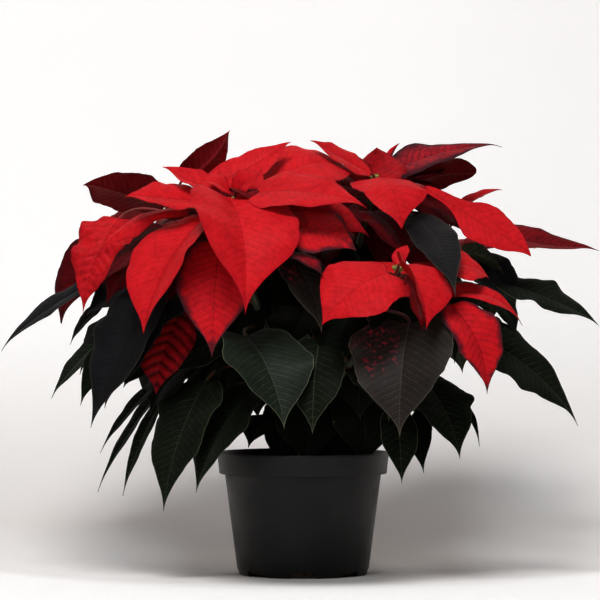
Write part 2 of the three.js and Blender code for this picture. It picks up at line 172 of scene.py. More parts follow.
# and the small, hidden and rear leaves, which have none either
innerLeaves = [
    ["leaf_right_mid", "e", 0.84, [141, 18, 285], [177, 4, 267], 44, 6, -30, 6],
    ["leaf_right_behind", "e", 0.80, [156, 36, 282], [190, 26, 232], 44, 6, 40, 8],
    ["leaf_right_small", "e", 0.66, [162, -14, 250], [187, -26, 211], 30, 6, 20, 8],
    ["leaf_left_high", "d", 0.72, [-164, -8, 218], [-221, -20, 158], 34, 4, -20, 10],
    ["leaf_left_spike", "d", 0.76, [-170, -2, 244], [-205, -14, 204], 22, 4, -14, 10],
    ["leaf_left_tuft", "d", 0.78, [-140, -10, 262], [-190, -20, 230], 50, 4, -30, 10],
    ["leaf_left_mid", "d", 0.66, [-160, -26, 214], [-194, -42, 152], 30, 5, -30, 10],
    ["leaf_left_under", "a", 0.56, [-128, -38, 240], [-172, -58, 151], 52, 8, -30, 8],
    ["leaf_low_thin_a", "d", 0.46, [-126, -10, 172], [-177, -38, 111], 20, 3, -8, 14, 0.3],
    ["leaf_low_thin_b", "d", 0.40, [-126, -4, 164], [-180, -26, 77], 21, 3, -8, 14, 0.3],
    ["leaf_low_thin_c", "a", 0.30, [-126, -24, 152], [-157, -45, 74], 20, 3, -8, 14, 0.3],
    ["leaf_left_cross", "a", 0.42, [-68, -34, 208], [-122, -38, 178], 50, 6, -40, 8],
    ["leaf_left_round", "d", 0.50, [-128, 0, 196], [-158, -16, 166], 32, 5, -30, 8],
    ["leaf_low_right_small", "c", 0.22, [104, -18, 146], [105, -44, 93], 24, 6, 24, 10],
    ["leaf_right_low_back", "e", 0.36, [128, -18, 162], [154, -40, 116], 10, 8, 8, 10],
    ["leaf_inner_low_left", "d", 0.22, [-22, -2, 142], [-48, -30, 114], 44, 5, 0, 8],
    ["leaf_inner_low_right", "e", 0.24, [30, 12, 142], [62, -8, 114], 44, 5, 0, 8],
    ["leaf_inner_front", "b", 0.52, [6, -6, 236], [-10, -56, 200], 60, 8, 0, 10],
    ["leaf_inner_right", "c", 0.70, [44, -44, 238], [28, -78, 182], 60, 8, 0, 8],
    ["leaf_core_a", "d", 0.78, [-64, 44, 296], [-84, 34, 196], 92, 8, 0, 8],
    ["leaf_core_b", "b", 0.62, [18, 30, 296], [14, 24, 200], 96, 8, 0, 8],
    ["leaf_core_c", "b", 0.70, [56, 44, 292], [76, 30, 200], 92, 8, 0, 8],
    ["leaf_core_d", "e", 0.72, [112, 66, 276], [136, 44, 188], 84, 8, 0, 8],
    ["leaf_core_e", "d", 0.44, [-36, 34, 210], [-40, 28, 138], 72, 8, 0, 8],
    ["leaf_core_f", "e", 0.42, [40, 40, 208], [52, 34, 122], 84, 8, 0, 8],
    ["leaf_core_g", "d", 0.62, [-112, 50, 236], [-140, 34, 150], 76, 8, 0, 8],
    ["leaf_core_h", "e", 0.56, [70, 52, 214], [84, 32, 136], 76, 8, 0, 8],
    ["leaf_core_i", "a", 0.52, [-50, -10, 240], [-66, -26, 156], 80, 8, 0, 8],
    ["leaf_core_j", "c", 0.56, [56, -26, 216], [50, -40, 140], 80, 8, 0, 8],
    ["leaf_core_k", "d", 0.20, [-4, 14, 152], [-22, -16, 94], 42, 8, 0, 8],
    ["leaf_core_l", "e", 0.20, [16, 12, 160], [36, -18, 96], 62, 8, 0, 8],
    ["leaf_core_m", "b", 0.16, [0, -14, 168], [4, -38, 96], 60, 8, 0, 8],
    ["leaf_core_n", "c", 0.84, [76, -58, 248], [86, -76, 190], 70, 8, 0, 8],
    ["leaf_core_o", "c", 0.24, [50, -18, 170], [54, -34, 98], 62, 8, 0, 8],
    ["leaf_core_p", "d", 0.64, [-34, 36, 292], [-30, 30, 200], 84, 8, 0, 8],
    ["leaf_core_q", "d", 0.52, [-92, 0, 226], [-112, -20, 158], 58, 8, 0, 8],
    ["leaf_core_r", "a", 0.38, [-70, -20, 196], [-92, -34, 140], 50, 8, 0, 8],
    ["leaf_core_t", "d", 0.12, [2, 16, 164], [6, 2, 93], 84, 6, 0, 8],
    ["leaf_left_dark_behind", "a", 0.64, [-100, -22, 266], [-126, -46, 214], 62, 6, -10, 8],
    ["leaf_core_s", "a", 0.36, [-100, -18, 186], [-134, -34, 142], 54, 6, -10, 8],
    ["leaf_fill_left", "d", 0.74, [-96, 36, 276], [-150, 30, 246], 56, 6, 0, 8],
    ["leaf_fill_back", "d", 0.82, [-112, 62, 290], [-154, 90, 262], 52, 6, 0, 8],
    ["leaf_fill_right", "e", 0.78, [128, 52, 270], [172, 40, 244], 52, 6, 0, 8],
    ["leaf_back_far_left", "d", 0.70, [-140, 92, 240], [-206, 132, 176], 58, 10, 0, 10],
    ["leaf_back_mid_left", "d", 0.48, [-60, 84, 196], [-96, 148, 128], 60, 10, 0, 10],
    ["leaf_back_mid_right", "e", 0.46, [84, 92, 190], [112, 164, 126], 60, 10, 0, 10],
    ["leaf_back_low", "b", 0.30, [4, 50, 170], [-14, 124, 112], 60, 10, 0, 10],
    ["leaf_back_far_right", "e", 0.74, [158, 104, 256], [176, 150, 224], 56, 10, 0, 10],
    ["leaf_right_back_low", "e", 0.52, [140, 56, 228], [190, 72, 196], 56, 10, 0, 10],
    ["leaf_left_back_low", "d", 0.56, [-112, 50, 190], [-140, 64, 158], 44, 10, 0, 10],
]


# shader helpers: each returns the output socket, so that they nest like a formula
def setInput(tree, socket, value):
    if isinstance(value, bpy.types.NodeSocket):
        tree.links.new(value, socket)
    else:
        socket.default_value = value


def mathNode(tree, operation, first, second=0.5, third=0.5, clamp=False):
    node = tree.nodes.new("ShaderNodeMath")
    node.operation = operation
    node.use_clamp = clamp
    for socket, value in zip(node.inputs, (first, second, third)):
        setInput(tree, socket, value)
    return node.outputs[0]


def multiply(tree, first, second):
    return mathNode(tree, "MULTIPLY", first, second)


def multiplyAdd(tree, value, factor, added, clamp=False):
    return mathNode(tree, "MULTIPLY_ADD", value, factor, added, clamp)


def softStep(tree, value, low, high, toLow=0.0, toHigh=1.0):
    node = tree.nodes.new("ShaderNodeMapRange")
    node.interpolation_type = "SMOOTHSTEP"
    labels = ("Value", "From Min", "From Max", "To Min", "To Max")
    for label, given in zip(labels, (value, low, high, toLow, toHigh)):
        setInput(tree, node.inputs[label], given)
    return node.outputs[0]


def mixColor(tree, amount, first, second):
    node = tree.nodes.new("ShaderNodeMix")
    node.data_type = "RGBA"
    for socket, value in zip((node.inputs[0], node.inputs[6], node.inputs[7]), (amount, first, second)):
        setInput(tree, socket, value)
    return node.outputs[2]


def objectPlace(tree):
    return tree.nodes.new("ShaderNodeTexCoord").outputs["Object"]


def splitPlace(tree):
    split = tree.nodes.new("ShaderNodeSeparateXYZ")
    tree.links.new(objectPlace(tree), split.inputs[0])
    return split.outputs


def noiseNode(tree, scale, detail):
    node = tree.nodes.new("ShaderNodeTexNoise")
    for label, value in (("Vector", objectPlace(tree)), ("Scale", scale), ("Detail", detail)):
        setInput(tree, node.inputs[label], value)
    return node.outputs["Fac"]


def softNoise(tree, scale, detail, low, high, toLow=0.0):
    return softStep(tree, noiseNode(tree, scale, detail), low, high, toLow)


def strayNoise(tree, scale, detail, reach):
    return multiplyAdd(tree, noiseNode(tree, scale, detail), reach, -reach / 2)


def meshValue(tree, name):
    node = tree.nodes.new("ShaderNodeAttribute")
    node.attribute_name = name
    return node.outputs["Fac"]


# each effect is a node group that puts out a colour, a height and a roughness
groupOutputs = {"Color": "NodeSocketColor", "Height": "NodeSocketFloat", "Roughness": "NodeSocketFloat"}


def newGroup(name, inputs):
    tree = bpy.data.node_groups.new(name, "ShaderNodeTree")
    for label, value in inputs.items():
        kind = "NodeSocketColor" if isinstance(value, tuple) else "NodeSocketFloat"
        socket = tree.interface.new_socket(name=label, in_out="INPUT", socket_type=kind)
        socket.default_value = value
    for label, kind in groupOutputs.items():
        tree.interface.new_socket(name=label, in_out="OUTPUT", socket_type=kind)
    entry = tree.nodes.new("NodeGroupInput")
    leave = tree.nodes.new("NodeGroupOutput")
    return tree, entry.outputs, leave.inputs


# leaf surface: midrib, side veins, fine net, blotches, a coloured margin and its thin rim
leafPattern = {
    # noises: scale, detail, where the soft step starts and ends, and what is left below it
    "cloud": (28.0, 4.0, 0.36, 0.70),
    "mottle": (170.0, 3.0, 0.42, 0.64),
    "grain": (520.0, 4.0, 0.35, 0.75),
    "blotch": (290.0, 3.0, 0.50, 0.72),
    "blotchArea": (55.0, 2.0, 0.42, 0.56),
    "veinGaps": (160.0, 3.0, 0.38, 0.62, 0.35),
    # noises that let the veins and the margin stray: scale, detail and reach
    "wander": (90.0, 3.0, 0.6),
    "fray": (120.0, 5.0, 0.5),
    # half widths of the side veins and of the colour round them, where 1 is from one main vein to the next
    "mainVein": 0.15,
    "secondVein": 0.12,
    "secondShare": 0.5,
    "spread": (0.05, 0.40),
    "veinFade": (0.15, 0.95),  # how the side veins fade from the midrib to the margin
    "veinLeft": 0.3,
    "sideShare": 0.7,
    "ribTaper": 0.7,
    "ribCore": 0.35,
    "netScale": 420.0,
    "netLine": 0.16,
    "netShare": 0.10,
    "blotchFade": 0.25,
    "marginFull": 0.98,
    "tipLater": 0.1,
    "rimWidth": (0.25, 0.9),
    "shade": {"cloud": 0.45, "mottle": 0.4, "grain": 0.25},
    "height": {"veins": 0.9, "net": 0.2, "grain": -0.15},
    "roughness": {"least": 0.48, "cloud": 0.10, "net": 0.06},
}


# a main side vein at every whole rank, a fainter one half way between, and the midrib over both
def veinMasks(tree, along, outward):
    look = leafPattern
    rank = mathNode(tree, "ADD", meshValue(tree, "veinRank"), strayNoise(tree, *look["wander"]))
    fromMain = mathNode(tree, "PINGPONG", rank, 0.5)
    fromSecond = mathNode(tree, "SUBTRACT", 0.5, fromMain)
    mainVein = softStep(tree, fromMain, 0.0, look["mainVein"], 1.0, 0.0)
    secondVein = softStep(tree, fromSecond, 0.0, look["secondVein"], look["secondShare"], 0.0)
    fade = softStep(tree, outward, *look["veinFade"], 1.0, look["veinLeft"])
    fade = multiply(tree, fade, softNoise(tree, *look["veinGaps"]))
    sideVein = multiply(tree, mathNode(tree, "MAXIMUM", mainVein, secondVein), fade)
    ribWidth = multiplyAdd(tree, along, -look["ribTaper"], 1.0)
    ribCore = multiply(tree, ribWidth, look["ribCore"])
    midrib = softStep(tree, meshValue(tree, "ribDistance"), ribCore, ribWidth, 1.0, 0.0)
    veins = mathNode(tree, "MAXIMUM", multiply(tree, sideVein, look["sideShare"]), midrib)
    return veins, softStep(tree, fromMain, *look["spread"], 1.0, 0.0)


def netMask(tree):
    net = tree.nodes.new("ShaderNodeTexVoronoi")
    net.feature = "DISTANCE_TO_EDGE"
    net.inputs["Scale"].default_value = leafPattern["netScale"]
    tree.links.new(objectPlace(tree), net.inputs["Vector"])
    return softStep(tree, net.outputs["Distance"], 0.0, leafPattern["netLine"], 1.0, 0.0)


# blotches gather in areas, on one side of the midrib or on both, up to a place along the blade
def blotchMask(tree, given, along, across):
    look = leafPattern
    blotch = multiply(tree, softNoise(tree, *look["blotch"]), softNoise(tree, *look["blotchArea"]))
    onSide = softStep(tree, multiply(tree, across, given["Blotch Side"]), 0.0, look["blotchFade"])
    anySide = mathNode(tree, "SUBTRACT", 1.0, mathNode(tree, "ABSOLUTE", given["Blotch Side"]))
    blotch = multiply(tree, blotch, mathNode(tree, "MAXIMUM", onSide, anySide))
    fadeFrom = mathNode(tree, "SUBTRACT", given["Blotch To"], look["blotchFade"])
    blotch = multiply(tree, blotch, softStep(tree, along, fadeFrom, given["Blotch To"], 1.0, 0.0))
    return multiply(tree, blotch, given["Blotch Amount"])


# the margin's colour comes in from the edge and down from the tip, with a frayed border
def marginMask(tree, given, along, outward):
    fray = strayNoise(tree, *leafPattern["fray"])
    edge = mathNode(tree, "ADD", outward, fray)
    edge = softStep(tree, edge, given["Margin From"], leafPattern["marginFull"])
    tipFrom = mathNode(tree, "ADD", given["Margin From"], leafPattern["tipLater"])
    tip = softStep(tree, mathNode(tree, "ADD", along, fray), tipFrom, 1.0)
    return multiply(tree, mathNode(tree, "MAXIMUM", edge, tip), given["Margin Amount"])


def makeLeafGroup():
    tree, given, result = newGroup("leafSurface", {
        "Blade": (0.6, 0.01, 0.02, 1),
        "Shade": (0.4, 0.01, 0.01, 1),
        "Vein": (0.5, 0.01, 0.01, 1),
        "Blotch": (0.1, 0.01, 0.01, 1),
        "Margin": (0.2, 0.01, 0.01, 1),
        "Rim": (0.2, 0.01, 0.01, 1),
        "Vein Show": 0.5,
        "Vein Spread": 0.2,
        "Blotch Amount": 0.0,
        "Blotch Side": 0.0,
        "Blotch To": 1.2,
        "Margin Amount": 0.2,
        "Margin From": 0.7,
        "Rim Amount": 0.3,
    })
    look = leafPattern
    share, height, rough = look["shade"], look["height"], look["roughness"]
    along = meshValue(tree, "veinAlong")
    across = meshValue(tree, "veinAcross")
    outward = mathNode(tree, "ABSOLUTE", across)
    veins, spread = veinMasks(tree, along, outward)
    net = netMask(tree)
    cloud = softNoise(tree, *look["cloud"])
    grain = softNoise(tree, *look["grain"])

    # colour, from the broad clouds to the thin rim
    fine = multiply(tree, grain, share["grain"])
    fine = multiplyAdd(tree, softNoise(tree, *look["mottle"]), share["mottle"], fine)
    color = mixColor(tree, multiplyAdd(tree, cloud, share["cloud"], fine), given["Blade"], given["Shade"])
    color = mixColor(tree, blotchMask(tree, given, along, across), color, given["Blotch"])
    color = mixColor(tree, marginMask(tree, given, along, outward), color, given["Margin"])
    veinColor = multiplyAdd(tree, net, look["netShare"], veins)
    # on the red bracts, the dark vein colour spread round the side veins is painted shade of the dips between
    # the blade's puffs
    spread = multiply(tree, spread, given["Vein Spread"])
    veinColor = multiplyAdd(tree, veinColor, given["Vein Show"], spread, clamp=True)
    color = mixColor(tree, veinColor, color, given["Vein"])
    rim = softStep(tree, meshValue(tree, "edgeDistance"), *look["rimWidth"], 1.0, 0.0)
    color = mixColor(tree, multiply(tree, rim, given["Rim Amount"]), color, given["Rim"])
    tree.links.new(color, result["Color"])

    raised = multiplyAdd(tree, net, height["net"], multiply(tree, veins, height["veins"]))
    tree.links.new(multiplyAdd(tree, grain, height["grain"], raised), result["Height"])
    dull = multiplyAdd(tree, net, rough["net"], rough["least"])
    tree.links.new(multiplyAdd(tree, cloud, rough["cloud"], dull), result["Roughness"])
    return tree


# grain: soft mottling of two colours with a fine relief, for bark, soil and plastic
grainPattern = {"detail": 5.0, "cloud": (0.35, 0.68), "fineDetail": 3.0, "fineShare": 0.5}


def makeGrainGroup():
    tree, given, result = newGroup("surfaceGrain", {
        "Light": (0.1, 0.1, 0.1, 1),
        "Dark": (0.02, 0.02, 0.02, 1),
        "Scale": 60.0,
        "Fine Scale": 900.0,
        "Low Roughness": 0.4,
        "High Roughness": 0.6,
    })
    cloud = softNoise(tree, given["Scale"], grainPattern["detail"], *grainPattern["cloud"])
    fine = noiseNode(tree, given["Fine Scale"], grainPattern["fineDetail"])
    tree.links.new(mixColor(tree, cloud, given["Light"], given["Dark"]), result["Color"])
    tree.links.new(multiplyAdd(tree, fine, grainPattern["fineShare"], cloud), result["Height"])
    spread = mathNode(tree, "SUBTRACT", given["High Roughness"], given["Low Roughness"])
    tree.links.new(multiplyAdd(tree, cloud, spread, given["Low Roughness"]), result["Roughness"])
    return tree


leafGroup = makeLeafGroup()
grainGroup = makeGrainGroup()


def makeMaterial(name, group, values, relief, depth, specular=0.5, coat=0.0):
    material = bpy.data.materials.new(name)
    material.use_nodes = True
    tree = material.node_tree
    shader = tree.nodes["Principled BSDF"]
    effect = tree.nodes.new("ShaderNodeGroup")
    effect.node_tree = group
    for label, value in values.items():
        effect.inputs[label].default_value = (*value, 1) if isinstance(value, tuple) else value
    bump = tree.nodes.new("ShaderNodeBump")
    bump.inputs["Strength"].default_value = relief
    bump.inputs["Distance"].default_value = depth * mm
    tree.links.new(effect.outputs["Color"], shader.inputs["Base Color"])
    tree.links.new(effect.outputs["Roughness"], shader.inputs["Roughness"])
    tree.links.new(effect.outputs["Height"], bump.inputs["Height"])
    tree.links.new(bump.outputs["Normal"], shader.inputs["Normal"])
    shader.inputs["Specular IOR Level"].default_value = specular
    shader.inputs["Coat Weight"].default_value = coat
    return material


def grainMaterial(name, light, dark, scales, roughness, **finish):
    labels = ("Light", "Dark", "Scale", "Fine Scale", "Low Roughness", "High Roughness")
    return makeMaterial(name, grainGroup, dict(zip(labels, (light, dark, *scales, *roughness))), **finish)


# what the colours and numbers of a leaf's top and underside set, in order
leafColors = ("Blade", "Shade", "Vein", "Margin")
topLabels = (*leafColors, "Rim", "Vein Show", "Vein Spread", "Margin Amount", "Rim Amount")
underLabels = (*leafColors, "Vein Show", "Margin Amount")
# each kind of leaf in linear colours, its stalk's light and dark ones, and as extra what it alone has.
# Several styles are the usual red or green with painted light or painted shade, for leaves that lie in full
# light or in shade, and the bracts' undersides are a darker red than their tops, which is painted shade
leafStyles = {
    "brightBract": {
        "slot": "bract_red", "gloss": 0.05,
        "top": [(0.74, 0.013, 0.019), (0.5, 0.007, 0.012), (0.32, 0.004, 0.008), (0.34, 0.004, 0.012),
                (0.3, 0.006, 0.012), 0.55, 0.08, 0.2, 0.4],
        "under": [(0.4, 0.008, 0.012), (0.3, 0.005, 0.008), (0.52, 0.03, 0.03), (0.25, 0.004, 0.01),
                  0.55, 0.2],
        "stalk": [(0.3, 0.012, 0.014), (0.14, 0.02, 0.012)],
    },
    # painted shade: the usual red with dark blotches and a wider vein spread, standing in for the shade in
    # crumples
    "creaseShadedBract": {
        "slot": "bract_red", "gloss": 0.05,
        "top": [(0.7, 0.012, 0.018), (0.42, 0.006, 0.01), (0.26, 0.004, 0.007), (0.28, 0.004, 0.01),
                (0.3, 0.006, 0.012), 0.55, 0.14, 0.2, 0.4],
        "under": [(0.34, 0.007, 0.011), (0.22, 0.004, 0.007), (0.45, 0.026, 0.026), (0.2, 0.004, 0.008),
                  0.55, 0.2],
        "stalk": [(0.28, 0.012, 0.014), (0.13, 0.018, 0.012)],
        "extra": {"Blotch": (0.13, 0.003, 0.006), "Blotch Amount": 0.65},
    },
    # painted shade: the usual red made darker, for bracts that lie half in shade
    "dimShadedBract": {
        "slot": "bract_red", "gloss": 0.05,
        "top": [(0.5, 0.007, 0.012), (0.27, 0.004, 0.007), (0.15, 0.003, 0.005), (0.14, 0.003, 0.008),
                (0.1, 0.004, 0.008), 0.6, 0.22, 0.45, 0.5],
        "under": [(0.2, 0.005, 0.008), (0.12, 0.004, 0.006), (0.3, 0.02, 0.02), (0.1, 0.003, 0.006),
                  0.5, 0.3],
        "stalk": [(0.24, 0.01, 0.012), (0.11, 0.016, 0.012)],
    },
    # its dark margin is partly the bract's own dark edge and partly painted shade along the edge
    "edgeAndShadeBract": {
        "slot": "bract_red", "gloss": 0.05,
        "top": [(0.74, 0.011, 0.018), (0.5, 0.008, 0.013), (0.14, 0.002, 0.004), (0.055, 0.012, 0.02),
                (0.06, 0.03, 0.03), 0.5, 0.12, 0.95, 0.6],
        "under": [(0.2, 0.006, 0.01), (0.12, 0.004, 0.008), (0.3, 0.02, 0.02), (0.06, 0.004, 0.01), 0.5, 0.5],
        "stalk": [(0.26, 0.012, 0.014), (0.12, 0.016, 0.012)],
        "extra": {"Blotch": (0.1, 0.006, 0.014), "Blotch Amount": 0.25},
    },
    # painted shade: a darker red whose near-black vein colour spreads into the dips between the puffs,
    # standing in for the shade of deep quilting
    "quiltShadedBract": {
        "slot": "bract_red", "gloss": 0.05,
        "top": [(0.36, 0.006, 0.009), (0.2, 0.004, 0.006), (0.014, 0.001, 0.002), (0.05, 0.002, 0.004),
                (0.05, 0.003, 0.004), 0.4, 0.65, 0.5, 0.4],
        "under": [(0.13, 0.004, 0.006), (0.07, 0.003, 0.004), (0.22, 0.01, 0.012), (0.05, 0.002, 0.004),
                  0.5, 0.3],
        "stalk": [(0.18, 0.01, 0.012), (0.08, 0.012, 0.01)],
    },
    # painted shade: the usual red made much darker, for bracts in shadow
    "darkShadedBract": {
        "slot": "bract_red", "gloss": 0.05,
        "top": [(0.26, 0.004, 0.008), (0.1, 0.003, 0.005), (0.05, 0.002, 0.003), (0.04, 0.003, 0.005),
                (0.05, 0.003, 0.004), 0.6, 0.3, 0.5, 0.4],
        "under": [(0.12, 0.003, 0.005), (0.06, 0.002, 0.003), (0.2, 0.01, 0.012), (0.05, 0.002, 0.004),
                  0.5, 0.3],
        "stalk": [(0.18, 0.01, 0.012), (0.08, 0.012, 0.01)],
    },
    "shadedBract": {
        "slot": "bract_red", "gloss": 0.05,
        "top": [(0.11, 0.003, 0.005), (0.05, 0.002, 0.003), (0.025, 0.001, 0.002), (0.018, 0.002, 0.003),
                (0.03, 0.003, 0.004), 0.5, 0.2, 0.5, 0.4],
        "under": [(0.06, 0.002, 0.004), (0.03, 0.002, 0.003), (0.1, 0.006, 0.008), (0.02, 0.002, 0.003),
                  0.5, 0.3],
        "stalk": [(0.12, 0.008, 0.01), (0.05, 0.01, 0.008)],
    },
    "duskyBract": {
        "slot": "bract_red", "gloss": 0.05,
        "top": [(0.46, 0.01, 0.018), (0.2, 0.007, 0.014), (0.06, 0.004, 0.008), (0.022, 0.008, 0.013),
                (0.04, 0.02, 0.02), 0.6, 0.3, 0.97, 0.4],
        "under": [(0.14, 0.006, 0.01), (0.08, 0.004, 0.008), (0.26, 0.02, 0.02), (0.03, 0.004, 0.008),
                  0.5, 0.5],
        "stalk": [(0.26, 0.014, 0.016), (0.12, 0.014, 0.012)],
        "extra": {"Blotch": (0.035, 0.008, 0.014), "Blotch Amount": 0.9, "Margin From": 0.42},
    },
    "turning": {
        "slot": "turning_leaf", "gloss": 0.13,
        "top": [(0.0155, 0.0105, 0.0095), (0.0095, 0.008, 0.0066), (0.075, 0.056, 0.043),
                (0.024, 0.021, 0.015), (0.12, 0.1, 0.07), 0.5, 0.05, 0.4, 0.7],
        "under": [(0.03, 0.018, 0.016), (0.022, 0.02, 0.014), (0.1, 0.06, 0.05), (0.03, 0.02, 0.02),
                  0.5, 0.3],
        "stalk": [(0.07, 0.01, 0.01), (0.03, 0.012, 0.008)],
        "extra": {"Blotch": (0.42, 0.014, 0.034), "Blotch Amount": 0.85, "Blotch Side": -1.0,
                  "Blotch To": 0.62},
    },
    "dark": {
        "slot": "leaf_green", "gloss": 0.08,
        "top": [(0.007, 0.0064, 0.008), (0.0038, 0.004, 0.0046), (0.018, 0.017, 0.018), (0.016, 0.015, 0.013),
                (0.06, 0.056, 0.048), 0.5, 0.0, 0.3, 0.6],
        "under": [(0.022, 0.026, 0.018), (0.014, 0.017, 0.012), (0.06, 0.06, 0.04), (0.02, 0.02, 0.015),
                  0.5, 0.2],
        "stalk": [(0.1, 0.016, 0.014), (0.04, 0.03, 0.014)],
    },
    "litGreen": {
        "slot": "leaf_green", "gloss": 0.14,
        "top": [(0.0082, 0.0145, 0.0076), (0.004, 0.0072, 0.0038), (0.055, 0.075, 0.048),
                (0.011, 0.017, 0.011), (0.14, 0.17, 0.1), 0.8, 0.04, 0.3, 0.7],
        "under": [(0.026, 0.036, 0.02), (0.018, 0.024, 0.014), (0.08, 0.09, 0.05), (0.02, 0.03, 0.018),
                  0.5, 0.2],
        "stalk": [(0.055, 0.045, 0.018), (0.1, 0.02, 0.014)],
    },
    "shadedGreen": {
        "slot": "leaf_green", "gloss": 0.03,
        "top": [(0.003, 0.0046, 0.0022), (0.0018, 0.0028, 0.0014), (0.012, 0.016, 0.009),
                (0.005, 0.007, 0.004), (0.03, 0.036, 0.02), 0.6, 0.02, 0.3, 0.5],
        "under": [(0.012, 0.016, 0.009), (0.008, 0.011, 0.006), (0.04, 0.045, 0.025), (0.01, 0.014, 0.008),
                  0.5, 0.2],
        "stalk": [(0.04, 0.032, 0.014), (0.07, 0.016, 0.012)],
    },
    "green": {
        "slot": "leaf_green", "gloss": 0.045,
        "top": [(0.004, 0.0066, 0.0029), (0.0021, 0.0036, 0.0016), (0.032, 0.042, 0.024),
                (0.008, 0.011, 0.006), (0.08, 0.095, 0.055), 0.75, 0.04, 0.3, 0.65],
        "under": [(0.026, 0.036, 0.02), (0.018, 0.024, 0.014), (0.08, 0.09, 0.05), (0.02, 0.03, 0.018),
                  0.5, 0.2],
        "stalk": [(0.055, 0.045, 0.018), (0.1, 0.02, 0.014)],
    },
}
# the veins are sunk into the top of a blade and stand out underneath
leafFinish = {
    "top": {"relief": -0.6, "depth": 0.6},
    "under": {"relief": 0.5, "depth": 0.6, "specular": 0.06},
    "stalk": {
        "scales": (90.0, 1400.0), "roughness": (0.35, 0.5), "relief": 0.15, "depth": 0.2, "specular": 0.25,
    },
}


def makeLeafMaterials():
    made = {}
    for style, look in leafStyles.items():
        top = {**dict(zip(topLabels, look["top"])), **look.get("extra", {})}
        under = dict(zip(underLabels, look["under"]))
        made[style] = [
            makeMaterial(style + "Top", leafGroup, top, specular=look["gloss"], **leafFinish["top"]),
            makeMaterial(style + "Under", leafGroup, under, **leafFinish["under"]),
            grainMaterial(style + "Stalk", *look["stalk"], **leafFinish["stalk"]),
        ]
    return made


leafMaterials = makeLeafMaterials()
print("leaf materials made:", len(leafMaterials), "styles")


# curves: the same centripetal curve that the stems were built on
def stemPoint(points, along):
    points = [np.array(point, float) for point in points]
    last = len(points) - 1
    piece = min(int(along * last), last - 1)
    weight = along * last - piece
    start, end = points[piece], points[piece + 1]
    before = points[piece - 1] if piece > 0 else 2 * points[0] - points[1]
    after = points[piece + 2] if piece + 2 <= last else 2 * points[last] - points[last - 1]
    steps = (start - before, end - start, after - end)
    gapIn, gap, gapOut = (math.sqrt(np.linalg.norm(step)) for step in steps)
    leave = ((start - before) / gapIn - (end - before) / (gapIn + gap) + (end - start) / gap) * gap
    arrive = ((end - start) / gap - (after - start) / (gap + gapOut) + (after - end) / gapOut) * gap
    cubic = 2 * start - 2 * end + leave + arrive
    square = -3 * start + 3 * end - 2 * leave - arrive
    return ((cubic * weight + square) * weight + leave) * weight + start


def unit(vector):
    return vector / np.linalg.norm(vector)


def heading(line, along, step):
    return unit(line(min(1, along + step)) - line(max(0, along - step)))


def stemDirection(points, along):
    return heading(lambda place: stemPoint(points, place), along, 1e-3)


def turned(vector, axis, degrees):
    angle = math.radians(degrees)
    kept = axis * np.dot(axis, vector) * (1 - math.cos(angle))
    return vector * math.cos(angle) + np.cross(axis, vector) * math.sin(angle) + kept


def smooth(share):
    share = min(1.0, max(0.0, share))
    return share * share * (3 - 2 * share)


# meshes: the faces of a closed skin over a row of rings, each with the same number of points
def ringFaces(rings, size, start=0):
    faces = []
    for ring in range(rings - 1):
        for i in range(size):
            here = start + ring * size + i
            beside = start + ring * size + (i + 1) % size
            faces.append([here, beside, beside + size, here + size])
    last = start + (rings - 1) * size
    faces.append(list(range(start, start + size))[::-1])
    faces.append(list(range(last, last + size)))
    return faces


def circle(radius, height, sides):
    angles = [2 * math.pi * i / sides for i in range(sides)]
    return [(radius * math.cos(angle), radius * math.sin(angle), height) for angle in angles]


def addPiece(name, points, faces, smoothFaces=True):
    mesh = bpy.data.meshes.new(name)
    mesh.from_pydata((np.array(points, float) * mm).tolist(), [], faces)
    mesh.polygons.foreach_set("use_smooth", np.full(len(faces), smoothFaces))
    piece = bpy.data.objects.new(name, mesh)
    bpy.context.scene.collection.objects.link(piece)
    return piece


# blades: how every leaf is made, and the shape that a leaf has unless leafLooks says otherwise
bladeMake = {
    "columns": 26,
    "ringStep": 1.3,
    "innerColumns": 18,
    "innerRingStep": 2.4,
    "columnCrowding": 1.3,  # above 1, columns crowd at the midrib, and rings at the foot of the blade
    "ringCrowding": 1.08,
    "petioleRings": 12,
    "petioleRadius": 1.25,
    "petioleThinnest": 0.75,  # of that radius, and more for a wide leaf
    "petioleWide": 240,
    "petioleFoot": 0.7,  # how much thicker the stalk is where it leaves the shoot
    "footReach": 5,
    "petioleLean": 0.5,  # how far it first follows the shoot
    "petioleEnd": 0.05,  # by here the round stalk has turned into the flat blade
    "coreTaper": 0.5,
    "thickness": 0.42,
    "marginThinner": 0.75,
    "marginPower": 4,  # the higher, the nearer to its edge the blade thins and lies flat
    "tipThread": 0.7,  # the drip tip stays a thin thread
    "threadLeast": 0.02,
    "ribHeight": 1.5,
    "ribFade": 0.8,
    "ribWidth": 1.3,
    "groove": 0.5,
    "veinSlope": 0.50,
    "veinCurve": 0.45,
    "foldGain": 1.35,
    "foldSoftness": 0.004,
    "curlPower": 2.6,
    "cordatePower": 1.6,
    "cordateEnd": 2.2,
    "waveTurn": 6.28,
    "waveFade": 0.4,
    "flutterTurns": (34, 31),
    "flutterShare": 0.3,
    "notches": [(20, 1), (46, 0.6), (86, 0.35)],  # turns along the margin, and share
    "puffPower": 0.7,
    "puffWidth": 60,
    "puffMost": 1.2,
    "puffStart": (5, 8, 5),  # how fast the puffs rise from the midrib, from the blade's foot and from its tip
    "hookFrom": 0.86,
}
leafDefaults = {
    "widest": 0.38, "fullness": 1.4, "tipDraw": 0.85, "tipFrom": 0.55, "cordate": 0.05,
    "curl": 0.14, "wave": 0.06, "waves": 2.4, "ragged": 0.018, "sweep": 0,
    "veinStep": 6.2, "quilt": 0.45, "hook": 3, "lobes": [], "foldMore": (0, 0),
}


